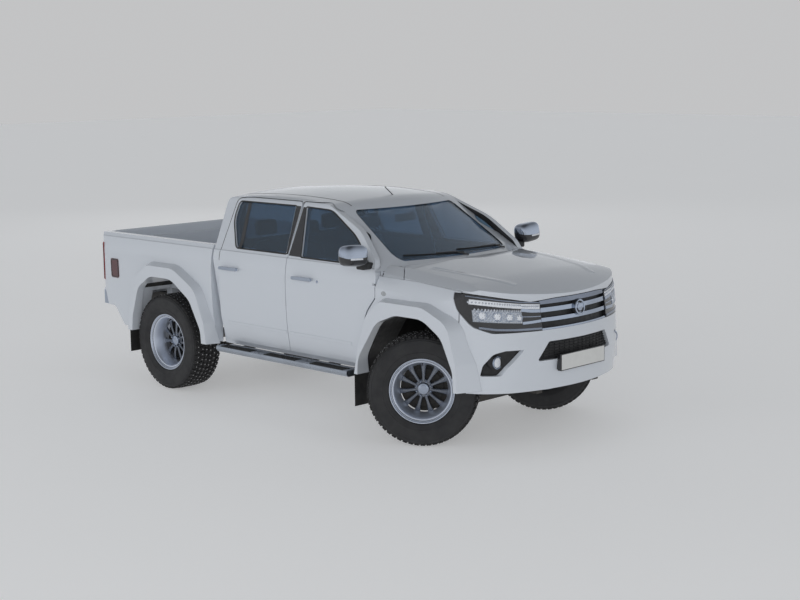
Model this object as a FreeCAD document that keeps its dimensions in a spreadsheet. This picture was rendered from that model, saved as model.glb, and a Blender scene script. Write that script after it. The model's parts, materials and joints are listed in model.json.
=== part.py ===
"""Double-cab pickup truck on studded 35-inch tyres, in millimetres.

+X points forward, +Y to the vehicle's left and +Z up. The origin lies on the ground under the
middle of the vehicle. The front wheels stand turned to the left, as the truck is parked.
"""
import FreeCAD, Part

import math
import os

import Sketcher
from FreeCAD import Placement, Rotation, Vector

SIZES = {
    # overall layout
    "wheelbase": 3085.0,
    "front_axle_x": 1630.0,
    "axle_height": 440.0,
    "wheel_plane_y": 801.0,
    "kingpin_y": 735.0,
    "steer_rest": 36.0,
    "rear_end_x": -2620.0,
    # wheels
    "tyre_radius": 440.0,
    "tyre_width": 315.0,
    "tread_width": 272.0,
    "shoulder_drop": 34.0,
    "wall_height": 204.0,
    "rim_radius": 236.0,
    "rim_seat": 122.0,
    "rim_lip": 14.0,
    "rim_wall": 9.0,
    "rim_face": 138.0,
    "dish_taper": 12.0,
    "spoke_face": 48.0,
    "spoke_depth": 26.0,
    "spoke_count": 11.0,
    "spoke_root": 26.0,
    "spoke_tip": 42.0,
    "hub_radius": 62.0,
    "hub_cap_radius": 50.0,
    "spindle_radius": 28.0,
    "spindle_clearance": 0.05,
    "spindle_depth": 10.0,
    "brake_offset": 12.0,
    "knuckle_gap": 5.0,
    "disc_radius": 152.0,
    "disc_thickness": 24.0,
    "joint_clearance": 6.0,
    "ball_joint_drop": 120.0,
    # body side
    "half_width": 928.0,
    "sill_z": 505.0,
    "belt_z": 1350.0,
    "belt_step": 9.0,
    "belt_tuck": 25.0,
    "side_lean": 0.406,
    "screen_base_x": 1412.0,
    "screen_base_z": 1372.0,
    "screen_head_x": 752.0,
    "screen_head_z": 1775.0,
    "roof_z": 1866.0,
    "roof_crown_radius": 6430.0,
    "roof_arch_radius": 7400.0,
    "roof_peak_x": -80.0,
    "roof_thickness": 34.0,
    "header_radius": 400.0,
    "screen_bow": 109.0,
    "screen_half_width": 655.0,
    "cab_back_x": -765.0,
    "cab_back_thickness": 45.0,
    "screen_thickness": 38.0,
    "door_thickness": 55.0,
    "door_recess": 61.0,
    "door_gap": 6.0,
    "door_flange": 30.0,
    "side_thickness": 84.0,
    "floor_z": 610.0,
    "floor_thickness": 26.0,
    "glass_thickness": 5.0,
    "glass_inset": 13.0,
    "glass_fit": 0.3,
    "door_split_x": 206.0,
    "door_bottom_z": 560.0,
    "door_top_z": 1808.0,
    "handle_z": 1203.0,
    "front_handle_x": 313.0,
    "rear_handle_x": -642.0,
    "sill_inner_y": 770.0,
    "firewall_x": 1290.0,
    "cowl_low_z": 1331.0,
    "front_door_edge_x": 1273.0,
    "rear_door_edge_x": -676.0,
    "hinge_y": 919.0,
    "hinge_setback": 18.0,
    "door_pin_radius": 5.0,
    "hinge_thickness": 10.0,
    "front_hinge_low_z": 1190.0,
    "front_hinge_high_z": 1228.0,
    "rear_hinge_low_z": 960.0,
    "rear_hinge_high_z": 1190.0,
    # nose
    "nose_x": 2602.0,
    "nose_bow_radius": 1500.0,
    "nose_corner_radius": 550.0,
    "nose_upper_z": 860.0,
    "nose_upper_lean": 0.13,
    "nose_lower_z": 700.0,
    "nose_lower_lean": 0.12,
    "bonnet_rear_z": 1408.0,
    "bonnet_crown_radius": 7600.0,
    "shoulder_slope": 0.08,
    "wing_thickness": 14.0,
    "bonnet_thickness": 24.0,
    "bonnet_gap": 6.0,
    "lamp_depth": 60.0,
    "bumper_thickness": 34.0,
    "bumper_top_z": 944.0,
    "bumper_bottom_z": 482.0,
    "plate_half_width": 265.0,
    "plate_z": 686.0,
    "wing_rear_x": 1279.0,
    "bumper_split_x": 2136.0,
    "grille_depth": 36.0,
    "seam_rear_y": 872.0,
    "seam_front_y": 846.0,
    "bonnet_rear_x": 1530.0,
    "bonnet_corner_x": 1436.0,
    "bonnet_corner_y": 750.0,
    "bonnet_seam_x": 1556.0,
    "cowl_drop": 30.0,
    "liner_inner_y": 640.0,
    "liner_thickness": 6.0,
    "grille_half_width": 396.0,
    # flares
    "flare_y": 1000.0,
    # bed
    "bed_front_x": -787.0,
    "bed_rear_x": -2500.0,
    "bed_rail_z": 1385.0,
    "bed_floor_z": 900.0,
    "bed_floor_thickness": 30.0,
    "bed_wall": 118.0,
    "bed_head_thickness": 40.0,
    "tailgate_thickness": 58.0,
    "tailgate_gap": 6.0,
    "tailgate_half_width": 760.0,
    # frame
    "rail_y": 385.0,
    "rail_width": 70.0,
    "rail_depth": 130.0,
    "rail_top_z": 570.0,
    "rail_kick": 190.0,
    "gearbox_z": 492.0,
    "gearbox_radius": 96.0,
    "gearbox_sling_z": 360.0,
    "cradle_z": 245.0,
    "lower_arm_z": 253.0,
    "lower_arm_thickness": 28.0,
    "upper_arm_z": 604.0,
    "king_pin_radius": 12.0,
    "pin_clearance": 0.3,
    "strut_y": 510.0,
    "strut_radius": 42.0,
    "tower_z": 880.0,
    "steering_arm": 115.0,
    "tie_rod_x": 1520.0,
    "tie_rod_z": 380.0,
    "tie_rod_radius": 11.0,
    "steering_eye": 24.0,
    "axle_radius": 45.0,
    "drum_depth": 48.0,
    "spring_y": 540.0,
    "spring_width": 64.0,
    "spring_thickness": 40.0,
    # cabin
    "seat_y": 370.0,
    "seat_width": 500.0,
    "wheel_hub_x": 640.0,
    "wheel_hub_z": 1130.0,
    "wheel_rim_radius": 188.0,
    "wheel_grip_radius": 15.0,
    "column_radius": 18.0,
    "column_tilt": 25.0,
    "dash_half_width": 750.0,
    # hinges
    "hinge_pin_radius": 10.0,
    "bonnet_hinge_x": 1330.0,
    "bonnet_hinge_z": 1290.0,
    "bonnet_hinge_y": 690.0,
    "bonnet_hinge_boss": 16.0,
    "tailgate_hinge_z": 905.0,
    # rear bumper
    "step_z": 820.0,
    "step_depth": 130.0,
    "ball_hole_radius": 12.75,
}


def build_sheet(doc):
    """Write the driving sizes to the spreadsheet, one alias to a cell."""
    sheet = doc.addObject("Spreadsheet::Sheet", "sizes")
    for row, (name, value) in enumerate(SIZES.items(), start=1):
        sheet.set(f"A{row}", name)
        sheet.set(f"B{row}", str(value))
        sheet.setAlias(f"B{row}", name)
    doc.recompute()
    return sheet


DOC = FreeCAD.newDocument("Pickup")
SHEET = build_sheet(DOC)


def mm(name):
    """Read one driving size from the sheet."""
    return float(SHEET.get(name))


# Planes and small shapes

def on_xz(level):
    """Map a pair (x, z) to the plane y = level."""
    return lambda a, b: Vector(a, level, b)


def on_yz(level):
    """Map a pair (y, z) to the plane x = level."""
    return lambda a, b: Vector(level, a, b)


def on_xy(level):
    """Map a pair (x, y) to the plane z = level."""
    return lambda a, b: Vector(a, b, level)


def outline(points, place):
    """Closed wire through corners given as (a, b) or (a, b, radius), rounded by tangent arcs."""
    corners = [(Vector(p[0], p[1], 0), p[2] if len(p) > 2 else 0.0) for p in points]
    edges = []
    stretches = []
    for index, (corner, radius) in enumerate(corners):
        before = corners[index - 1][0]
        after = corners[(index + 1) % len(corners)][0]
        if radius <= 0:
            stretches.append((corner, corner, None))
            continue
        to_before = (before - corner).normalize()
        to_after = (after - corner).normalize()
        half_angle = to_before.getAngle(to_after) / 2
        reach = radius / math.tan(half_angle)
        start = corner + to_before * reach
        end = corner + to_after * reach
        axis = (to_before + to_after).normalize()
        middle = corner + axis * (radius / math.sin(half_angle) - radius)
        stretches.append((start, end, middle))
    for index, (start, end, middle) in enumerate(stretches):
        if middle is not None:
            arc = Part.Arc(place(start.x, start.y), place(middle.x, middle.y), place(end.x, end.y))
            edges.append(arc.toShape())
        following = stretches[(index + 1) % len(stretches)][0]
        if (following - end).Length > 1e-6:
            edges.append(Part.makeLine(place(end.x, end.y), place(following.x, following.y)))
    return Part.Wire(edges)


def prism_xz(points, y_low, y_high):
    """Solid whose side view is the outline, between two values of y."""
    face = Part.Face(outline(points, on_xz(y_low)))
    return face.extrude(Vector(0, y_high - y_low, 0))


def prism_yz(points, x_low, x_high):
    """Solid whose front view is the outline, between two values of x."""
    face = Part.Face(outline(points, on_yz(x_low)))
    return face.extrude(Vector(x_high - x_low, 0, 0))


def prism_xy(points, z_low, z_high):
    """Solid whose plan is the outline, between two heights."""
    face = Part.Face(outline(points, on_xy(z_low)))
    return face.extrude(Vector(0, 0, z_high - z_low))


def block(x_range, y_range, z_range):
    """Rectangular block from three (low, high) pairs."""
    size = [high - low for low, high in (x_range, y_range, z_range)]
    corner = Vector(x_range[0], y_range[0], z_range[0])
    return Part.makeBox(size[0], size[1], size[2], corner)


def rod(start, end, radius):
    """Round bar between two points."""
    start = Vector(*start)
    along = Vector(*end) - start
    return Part.makeCylinder(radius, along.Length, start, along)


def mirrored(shape):
    """The same shape on the other side of the vehicle."""
    return shape.mirror(Vector(0, 0, 0), Vector(0, 1, 0))


def both(shape):
    """A shape made on the right, with its twin on the left."""
    return Part.Compound([shape, mirrored(shape)])


def fused(shapes):
    """One solid from shapes that touch or overlap."""
    whole = shapes[0].fuse(shapes[1:])
    return whole.removeSplitter()


# Master surfaces of the body

def belt_half():
    """Half-width of the glasshouse at the belt."""
    return mm("half_width") - mm("belt_tuck") - mm("belt_step")


def upper_half(height, inset=0.0):
    """Half-width of the leaning glasshouse side at a height."""
    return belt_half() - inset - (height - mm("belt_z")) * mm("side_lean")


def side_curve(inset):
    """Half-width of the body against height, from under the sill to the belt."""
    widest = mm("half_width") - inset
    steps = [(300.0, 96), (505.0, 56), (700.0, 22), (880.0, 5), (1050.0, 0), (1180.0, 0), (1290.0, 12)]
    points = [(widest - step, height) for height, step in steps]
    points.append((widest - mm("belt_tuck"), mm("belt_z")))
    return points


def side_profile(inset=0.0):
    """Closed cross-section of the body: sill, belt step, leaning side and rounded roof edge."""
    lower = [Vector(0, -y, z) for y, z in side_curve(inset)]
    belt_high = Vector(0, -upper_half(mm("belt_z"), inset), mm("belt_z") + 6)
    eave = Vector(0, -upper_half(1762, inset), 1762)
    turn = Vector(0, -upper_half(1808, inset + 7), 1808)
    shoulder = Vector(0, -upper_half(1840, inset + 52), 1840)
    ridge = Vector(0, -upper_half(1885, inset + 200), 1885)
    spline = Part.BSplineCurve()
    spline.interpolate(lower)
    right = [
        spline.toShape(),
        Part.makeLine(lower[-1], belt_high),
        Part.makeLine(belt_high, eave),
        Part.Arc(eave, turn, shoulder).toShape(),
        Part.makeLine(shoulder, ridge),
    ]
    left = [mirrored(edge) for edge in right]
    roof = Part.makeLine(ridge, Vector(0, -ridge.y, ridge.z))
    base = Part.makeLine(lower[0], Vector(0, -lower[0].y, lower[0].z))
    return Part.Wire(Part.__sortEdges__([base] + right + [roof] + left))


def side_solid(inset, x_low, x_high):
    """Everything between the two body sides, over a stretch of the length."""
    face = Part.Face(side_profile(inset))
    solid = face.extrude(Vector(x_high - x_low, 0, 0))
    solid.translate(Vector(x_low, 0, 0))
    return solid


def crowned(edges, top_z, crown_radius, half_width):
    """Side view swung about a low axis along the vehicle, which crowns it from side to side."""
    centre = Vector(0, 0, top_z - crown_radius)
    swing = math.degrees(math.asin(half_width / crown_radius))
    face = Part.Face(Part.Wire(edges))
    face.rotate(centre, Vector(1, 0, 0), -swing)
    return face.revolve(centre, Vector(1, 0, 0), 2 * swing)


def roof_volume(roof_skin, back_skin):
    """Everything under the roof and in front of the cab's back."""
    top = mm("roof_z") - roof_skin
    back = mm("cab_back_x") + back_skin
    peak_x = mm("roof_peak_x")
    arch = mm("roof_arch_radius")

    def roof_at(x):
        return Vector(x, 0, top - (x - peak_x) ** 2 / (2 * arch))

    rear = roof_at(back + 62)
    corner = Vector(back + 15, 0, rear.z - 17)
    drop = Vector(back, 0, rear.z - 60)
    foot = Vector(back, 0, 380)
    toe = Vector(1500, 0, 380)
    edges = [
        Part.Arc(rear, roof_at(300), roof_at(1500)).toShape(),
        Part.makeLine(roof_at(1500), toe),
        Part.makeLine(toe, foot),
        Part.makeLine(foot, drop),
        Part.Arc(drop, corner, rear).toShape(),
    ]
    return crowned(edges, mm("roof_z"), mm("roof_crown_radius"), 1000.0)


def screen_direction():
    """Unit vector up the windscreen."""
    rise = mm("screen_head_z") - mm("screen_base_z")
    run = mm("screen_head_x") - mm("screen_base_x")
    return Vector(run, 0, rise).normalize()


def screen_volume(skin):
    """Everything behind the bowed windscreen, moved inwards by a skin."""
    bow = mm("screen_bow")
    half = mm("screen_half_width")
    radius = (half ** 2 + bow ** 2) / (2 * bow)
    centre_x = mm("screen_base_x") - radius
    sweep = math.asin(1000.0 / radius)
    level = mm("screen_base_z")

    def rim(angle):
        return Vector(centre_x + radius * math.cos(angle), radius * math.sin(angle), level)

    right, left = rim(-sweep), rim(sweep)
    edges = [
        Part.Arc(right, rim(0), left).toShape(),
        Part.makeLine(left, Vector(-3000, left.y, level)),
        Part.makeLine(Vector(-3000, left.y, level), Vector(-3000, right.y, level)),
        Part.makeLine(Vector(-3000, right.y, level), right),
    ]
    up = screen_direction()
    face = Part.Face(Part.Wire(edges))
    face.translate(up * -1900)
    solid = face.extrude(up * 3800)
    solid.translate(Vector(-up.z, 0, up.x) * skin)
    return solid


def cab_volume(side_skin, screen_skin, roof_skin, back_skin):
    """The cab between its sides, screen, roof and back, each moved inwards by its skin."""
    whole = roof_volume(roof_skin, back_skin).common(screen_volume(screen_skin))
    header = [edge for edge in whole.Edges if is_header(edge.BoundBox)]
    whole = whole.makeFillet(mm("header_radius"), header)
    return whole.common(side_solid(side_skin, -900, 1600))


def is_header(box):
    """Tell whether an edge runs across the cab where the roof meets the windscreen."""
    return box.YMin < -500 and box.YMax > 500 and box.ZMin > 1600 and 300 < box.XMin < 900


def nose_plan(level, skin, front_x):
    """Plan of the nose: bowed front, round corners, then the sides running back."""
    bow = mm("nose_bow_radius")
    corner = mm("nose_corner_radius")
    turn_y = 580.0
    turn_angle = math.asin(turn_y / bow)
    turn_x = front_x - bow * (1 - math.cos(turn_angle))
    centre = Vector(turn_x - corner * math.cos(turn_angle), turn_y - corner * math.sin(turn_angle), 0)
    bow_now = bow - skin
    corner_now = corner - skin

    def on_bow(angle):
        return Vector(front_x - bow + bow_now * math.cos(angle), bow_now * math.sin(angle), level)

    def on_corner(angle, side):
        across = centre.y + corner_now * math.sin(angle)
        return Vector(centre.x + corner_now * math.cos(angle), side * across, level)

    half_turn = (turn_angle + math.pi / 2) / 2
    side_end = on_corner(math.pi / 2, 1)
    tail = Vector(1000, side_end.y + 37, level)
    return Part.Face(Part.Wire([
        Part.Arc(on_bow(-turn_angle), on_bow(0), on_bow(turn_angle)).toShape(),
        Part.Arc(on_bow(turn_angle), on_corner(half_turn, 1), side_end).toShape(),
        Part.makeLine(side_end, tail),
        Part.makeLine(tail, Vector(tail.x, -tail.y, level)),
        Part.makeLine(Vector(tail.x, -tail.y, level), on_corner(math.pi / 2, -1)),
        Part.Arc(on_corner(math.pi / 2, -1), on_corner(half_turn, -1), on_bow(-turn_angle)).toShape(),
    ]))


def nose_front(skin):
    """Everything behind the face of the nose: upright, leaning back above and below it."""
    solid = nose_plan(300, skin, mm("nose_x")).extrude(Vector(0, 0, 1300))
    above = nose_plan(mm("nose_upper_z"), skin, mm("nose_x"))
    lean = mm("nose_upper_lean")
    above.translate(Vector(600 * lean, 0, -600))
    solid = solid.common(above.extrude(Vector(-1400 * lean, 0, 1400)))
    below = nose_plan(mm("nose_lower_z"), skin, mm("nose_x"))
    lean = mm("nose_lower_lean")
    below.translate(Vector(800 * lean, 0, 800))
    return solid.common(below.extrude(Vector(-1300 * lean, 0, -1300)))


def bonnet_volume(skin):
    """Everything under the crowned bonnet line."""
    top = mm("bonnet_rear_z") - skin

    def line_at(x, drop):
        return Vector(x, 0, top - drop)

    rear, middle, knee = line_at(1000, -8), line_at(1640, 22), line_at(2150, 74)
    brow, lip = line_at(2400, 137), line_at(2680, 280)
    edges = [
        Part.Arc(rear, middle, knee).toShape(),
        Part.Arc(knee, brow, lip).toShape(),
        Part.makeLine(lip, Vector(2680, 0, 380)),
        Part.makeLine(Vector(2680, 0, 380), Vector(1000, 0, 380)),
        Part.makeLine(Vector(1000, 0, 380), rear),
    ]
    return crowned(edges, mm("bonnet_rear_z"), mm("bonnet_crown_radius"), 1000.0)


def shoulder_volume(skin):
    """Everything inboard of the rounded shoulder between bonnet and wing, sloping forward."""
    half = mm("half_width") - skin
    drop = mm("shoulder_slope") * 1900
    right = [
        Vector(900, -(half + 60), 300),
        Vector(900, -(half + 12), 1150 + drop / 1900 * 900),
        Vector(900, -(half - 62), 1300 + drop / 1900 * 600 - skin),
        Vector(900, -(half - 178), 1405 - skin),
        Vector(900, -(half - 330), 1440 - skin),
        Vector(900, 0, 1470),
    ]
    corners = right + [Vector(p.x, -p.y, p.z) for p in right[-2::-1]]
    face = Part.Face(Part.makePolygon(corners + [corners[0]]))
    return face.extrude(Vector(1900, 0, -drop))


def nose_volume(skin):
    """The whole nose ahead of the doors, each surface moved inwards by a skin."""
    solid = nose_front(skin).common(bonnet_volume(skin))
    solid = solid.common(shoulder_volume(skin))
    return solid.common(side_solid(skin, 1000, 2700))


# Outlines seen from the side

def front_door_outline(grow=0.0):
    """Front door: upright rear edge, roof line, pillar line and the cut that follows the flare."""
    rear = mm("door_split_x") + mm("door_gap") / 2 - grow
    front = mm("front_door_edge_x") + grow
    low = mm("door_bottom_z") - grow
    top = mm("door_top_z") + grow
    return [
        (rear, low, 6),
        (rear, top, 30),
        (520, top, 330),
        (985 + grow, 1622 + grow, 500),
        (1222 + grow, 1418 + grow, 90),
        (front, 1290, 60),
        (front, 1128, 40),
        (1172 + grow, 1010, 260),
        (1098 + grow, 790, 300),
        (1042 + grow, low, 6),
    ]


def rear_door_outline(grow=0.0):
    """Rear door: upright front edge, roof line, leaning rear pillar and a rounded low corner."""
    front = mm("door_split_x") - mm("door_gap") / 2 + grow
    rear = mm("rear_door_edge_x") - grow
    low = mm("door_bottom_z") - grow
    top = mm("door_top_z") + grow
    return [
        (front, low, 6),
        (rear + 30, low, 70),
        (rear, 760, 200),
        (rear, 1330, 120),
        (-655 - grow, 1560, 300),
        (-634 - grow, top - 14, 62),
        (-440, top, 300),
        (front, top, 30),
    ]


def front_window_outline(grow=0.0):
    """Daylight opening of the front door."""
    return [
        (372 - grow, 1374 - grow, 16),
        (272 - grow, 1766 + grow, 16),
        (590, 1756 + grow, 260),
        (945 + grow, 1576 + grow, 600),
        (1176 + grow, 1372 - grow, 24),
    ]


def rear_window_outline(grow=0.0):
    """Daylight opening of the rear door."""
    return [
        (176 + grow, 1386 - grow, 16),
        (136 + grow, 1768 + grow, 16),
        (-596 - grow, 1768 + grow, 46),
        (-612 - grow, 1620, 200),
        (-480 - grow, 1386 - grow, 60),
    ]


def arch_outline(front, grow=0.0):
    """Opening of a wheel arch, from its rear foot over the top to its front foot."""
    if front:
        return [
            (1118 - grow, 380),
            (1136 - grow, 640, 200),
            (1345 - grow * 0.7, 952 + grow * 0.7, 190),
            (1560, 1036 + grow, 240),
            (1850, 1036 + grow, 240),
            (2052 + grow * 0.7, 912 + grow * 0.7, 190),
            (2172 + grow, 660, 160),
            (2186 + grow, 380),
        ]
    shift = mm("wheelbase") - 3085.0
    points = [
        (-1930 - grow, 380),
        (-1902 - grow, 640, 160),
        (-1800 - grow * 0.7, 930 + grow * 0.7, 170),
        (-1610, 1052 + grow, 200),
        (-1290, 1052 + grow, 240),
        (-1020 + grow * 0.7, 886 + grow * 0.7, 200),
        (-868 + grow, 620, 160),
        (-846 + grow, 380),
    ]
    return [(point[0] - shift,) + tuple(point[1:]) for point in points]


# Body panels

def door_hinges(place):
    """Axis of a door's hinges in plan, and the two heights that they sit at."""
    if place == "front":
        edge = mm("front_door_edge_x")
    else:
        edge = mm("door_split_x") - mm("door_gap") / 2
    levels = [mm(f"{place}_hinge_low_z"), mm(f"{place}_hinge_high_z")]
    return edge - mm("hinge_setback"), levels


def hinge_brackets(place):
    """Fixed halves of a right-hand door's hinges: a strap out from the pillar and its upright pin."""
    x, levels = door_hinges(place)
    y, half = mm("hinge_y"), mm("hinge_thickness") / 2
    pin = mm("door_pin_radius")
    straps = []
    for z in levels:
        straps.append(block((x - pin, x + pin), (-y, 40 - (mm("half_width") - mm("door_recess"))), (z - half, z + half)))
        straps.append(rod((x, -y, z - half - 8), (x, -y, z + half + 8), pin))
    return straps


def hinge_pockets(place):
    """Room that a right-hand door leaves for its hinges, open inwards and forwards."""
    x, levels = door_hinges(place)
    y, half = mm("hinge_y"), mm("hinge_thickness") / 2
    pin = mm("door_pin_radius")
    pockets = []
    for z in levels:
        pockets.append(block((x - pin - 3, x + 40), (-y - pin - 0.5, -600), (z - half - 4, z + half + 4)))
        pockets.append(rod((x, -y, z - half - 9), (x, -y, z + half + 9), pin + mm("pin_clearance")))
    return pockets


def door_panel(place, side):
    """Door as thick as the real one, with its window cut and its rear edge clear of the next door as it swings."""
    door = front_door_outline() if place == "front" else rear_door_outline()
    window = front_window_outline() if place == "front" else rear_window_outline()
    y_low, y_high = -1000.0, -600.0
    skin = side_solid(0, -900, 1500)
    leaf = skin.common(prism_xz(door, y_low, y_high))
    leaf = leaf.cut(side_solid(mm("door_thickness"), -900, 1500))
    leaf = leaf.cut([prism_xz(window, y_low, y_high)] + hinge_pockets(place))
    if place == "front":
        hinge_x = door_hinges(place)[0]
        reach = hinge_x - mm("door_split_x") - mm("door_gap") / 2
        swing = rod((hinge_x, -mm("hinge_y"), 300), (hinge_x, -mm("hinge_y"), 1900), reach)
        leaf = leaf.common(swing)
    leaf = leaf.fuse(door_handle(mm(f"{place}_handle_x"))).removeSplitter()
    return leaf if side < 0 else mirrored(leaf)


def door_handle(x_rear):
    """Pull handle on two feet, proud of the door."""
    z = mm("handle_z")
    skin = -mm("half_width")
    grip = prism_xz([
        (x_rear, z - 14, 12), (x_rear, z + 12, 12), (x_rear + 238, z + 14, 12), (x_rear + 244, z - 12, 12),
    ], skin - 34, skin - 16)
    feet = [block((x_rear + a, x_rear + a + 40), (skin - 22, skin + 12), (z - 10, z + 10)) for a in (8, 192)]
    return [grip] + feet


def door_glass(window, side):
    """Pane just inside its opening, following the side of the glasshouse."""
    inset = mm("glass_inset")
    pane = side_solid(inset, -900, 1500).cut(side_solid(inset + mm("glass_thickness"), -900, 1500))
    pane = pane.common(prism_xz(window, -1000, -600))
    return pane if side < 0 else mirrored(pane)


def cab_shell_shape():
    """Cab: roof, pillars, sills, floor, firewall and back wall, open at doors and windows."""
    outer = cab_volume(0, 0, 0, 0)
    inner = cab_volume(mm("side_thickness"), mm("screen_thickness"), mm("roof_thickness"), mm("cab_back_thickness"))
    floor_top = mm("floor_z") + mm("floor_thickness")
    firewall = mm("firewall_x")
    nose_cut = [
        (1040, 300), (1040, 880), (1112, 900), (1112, 1130),
        (firewall, 1180), (firewall, 1330), (1700, 1330), (1700, 300),
    ]
    hollow_cut = [
        (-900, floor_top), (1010, floor_top), (1010, 900), (1082, 915), (1082, 1150), (1255, 1200),
        (1255, 1300), (1700, 1300), (1700, 2000), (-900, 2000),
    ]
    shell = outer.cut(prism_xz(nose_cut, -1100, 1100))
    shell = shell.cut(inner.common(prism_xz(hollow_cut, -1100, 1100)))
    shell = shell.cut(block((-900, 1300), (-(mm("sill_inner_y")), mm("sill_inner_y")), (300, mm("floor_z"))))
    shell = shell.cut(block((-900, 1300), (-1000, 1000), (300, mm("sill_z"))))
    gap = mm("door_gap")
    flange = mm("door_flange")
    skin = side_solid(mm("door_recess"), -1000, 1700)
    for recess, through in (
        (front_door_outline(gap), front_opening(flange)),
        (rear_door_outline(gap), rear_opening(flange)),
    ):
        pocket = prism_xz(recess, -1100, -500)
        if recess[0][0] > 0:
            pocket = pocket.fuse(block((1240, 1330), (-1100, -500), (1128, 1331)))
        pocket = pocket.cut(skin)
        shell = shell.cut(both(pocket))
        shell = shell.cut(both(prism_xz(through, -1100, -500)))
    arm_y = mm("bonnet_hinge_y")
    shell = shell.cut(both(block((firewall, 1430), (-(arm_y + 17), -(arm_y - 7)), (1320, 1356))))
    shell = shell.cut(prism_yz(screen_opening(0), 500, 1500))
    shell = shell.cut(prism_yz(back_window_opening(0), -900, -600))
    straps = hinge_brackets("front") + hinge_brackets("rear")
    return shell.fuse(straps + [mirrored(strap) for strap in straps])


def front_opening(flange):
    """Doorway behind the front door, smaller than the door by the flange it shuts on."""
    rear = mm("door_split_x") + mm("door_gap") / 2 + flange + 14
    low = mm("door_bottom_z") + flange + 22
    top = mm("door_top_z") - flange
    return [
        (rear, low, 60), (rear, top, 60), (500, top, 300), (955, 1590, 400), (1160, 1405, 70),
        (1188, 1290, 60), (1150, 1080, 160), (1046, 900, 160), (985, low, 90),
    ]


def rear_opening(flange):
    """Doorway behind the rear door."""
    front = mm("door_split_x") - mm("door_gap") / 2 - flange - 14
    rear = mm("rear_door_edge_x") + flange
    low = mm("door_bottom_z") + flange + 22
    top = mm("door_top_z") - flange
    return [
        (front, low, 60), (rear + 60, low + 30, 140), (rear, 900, 200), (rear + 6, 1400, 200),
        (-600, top - 16, 60), (-420, top, 200), (front, top, 60),
    ]


def screen_opening(shrink):
    """Front view of the windscreen."""
    low = mm("screen_base_z") + 14 + shrink
    top = mm("screen_head_z") - 16 - shrink
    return [
        (-(662 - shrink), low, 60), (662 - shrink, low, 60), (588 - shrink, top, 50), (-(588 - shrink), top, 50),
    ]


def back_window_opening(shrink):
    """Rear view of the window in the cab's back."""
    low, top = 1415 + shrink, 1740 - shrink
    return [
        (-(590 - shrink), low, 50), (590 - shrink, low, 50), (555 - shrink, top, 50), (-(555 - shrink), top, 50),
    ]


def cab_glass_shape():
    """Windscreen and rear window, each just inside its opening."""
    fit = mm("glass_fit")
    thick = mm("glass_thickness")
    screen = screen_volume(8).cut(screen_volume(8 + thick)).common(prism_yz(screen_opening(fit), 500, 1500))
    back = mm("cab_back_x")
    rear = prism_yz(back_window_opening(fit), back + 12, back + 12 + thick)
    return Part.Compound([screen, rear])


def cowl_shape():
    """Black panel between bonnet and windscreen, slotted for the bonnet's arms and carrying their pins."""
    drop = mm("cowl_drop")
    screen = screen_volume(-0.3)
    under = bonnet_volume(drop).common(shoulder_volume(drop))
    level = mm("cowl_low_z")
    slab = block((1100, 1700), (-790, 790), (level, 1372)).common(under)
    slab = slab.cut(prism_xy(bonnet_plan(mm("bonnet_gap")), 1300, 1500))
    panel = slab.cut(screen)
    y = mm("bonnet_hinge_y")
    x, z = mm("bonnet_hinge_x"), mm("bonnet_hinge_z")
    slot = block((x - 40, 1700), (-(y + 17), -(y - 7)), (1200, 1400))
    panel = panel.cut([slot, mirrored(slot)])
    wall = mm("firewall_x")
    bracket = prism_xz([
        (wall, z - 18), (x + 18, z - 18), (x + 64, z + 26), (x + 64, level + 5), (x + 46, level + 5),
        (x + 46, level - 1.5), (wall, level - 1.5),
    ], -(y - 7), -(y - 25))
    pin = rod((x, -(y - 12), z), (x, -(y + 12), z), mm("hinge_pin_radius"))
    hinge = bracket.fuse(pin)
    return panel.fuse([hinge, mirrored(hinge)]).removeSplitter()


# Nose

def wing_seam(shift=0.0):
    """Plan of everything inboard of the seam between bonnet and wing."""
    half = mm("seam_rear_y") + shift
    front = mm("seam_front_y") + shift
    return [(900, -half - 12), (2120, -front), (2800, -front + 60), (2800, front - 60), (2120, front), (900, half + 12)]


def lamp_side_outline(grow=0.0):
    """Headlamp seen from the side: the curve of its outer end sweeps down and forward."""
    return [
        (2068 - grow, 1262 + grow), (2800, 1262 + grow), (2800, 938 - grow), (2345, 952 - grow, 60),
        (2222 - grow, 1002 - grow, 160), (2112 - grow, 1120, 160),
    ]


def lamp_front_outline(grow=0.0):
    """Headlamp seen from the front, right-hand side: y then z."""
    inner = mm("grille_half_width") - grow
    bottom = mm("bumper_top_z") - grow
    return [
        (-inner, bottom), (-(740 + grow), bottom + 10, 60), (-(1000 + grow), bottom + 10),
        (-(1000 + grow), 1262 + grow), (-860, 1240 + grow), (-690, 1203 + grow, 80), (-476, 1160 + grow, 60),
        (-inner, 1158 + grow),
    ]


def lamp_zone(grow=0.0):
    """Space that the right-hand headlamp fills."""
    zone = prism_yz(lamp_front_outline(grow), 1900, 2800)
    return zone.common(prism_xz(lamp_side_outline(grow), -1100, -300))


def bonnet_lip(shift=0.0):
    """Front view of everything above the bonnet's lower front edge."""
    right = [(-1100, 1256 + shift), (-860, 1246 + shift), (-690, 1209 + shift, 80), (-476, 1166 + shift, 60),
             (-250, 1180 + shift, 200)]
    left = [(-point[0],) + tuple(point[1:]) for point in right[::-1]]
    return right + left + [(1100, 1600), (-1100, 1600)]


def bonnet_plan(shift=0.0):
    """Plan of the bonnet: bowed rear edge, corners cut forward to the wing seams."""
    middle = mm("bonnet_rear_x") - shift
    corner = mm("bonnet_corner_x") - shift
    y = mm("bonnet_corner_y") + shift
    seam = mm("bonnet_seam_x") - shift
    apex = middle + 124
    side = 255.0
    return [
        (seam, -880), (corner, -y, 30), (apex - side, -715), (apex, 0, 2000), (apex - side, 715), (corner, y, 30),
        (seam, 880), (2800, 880), (2800, -880),
    ]


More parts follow.
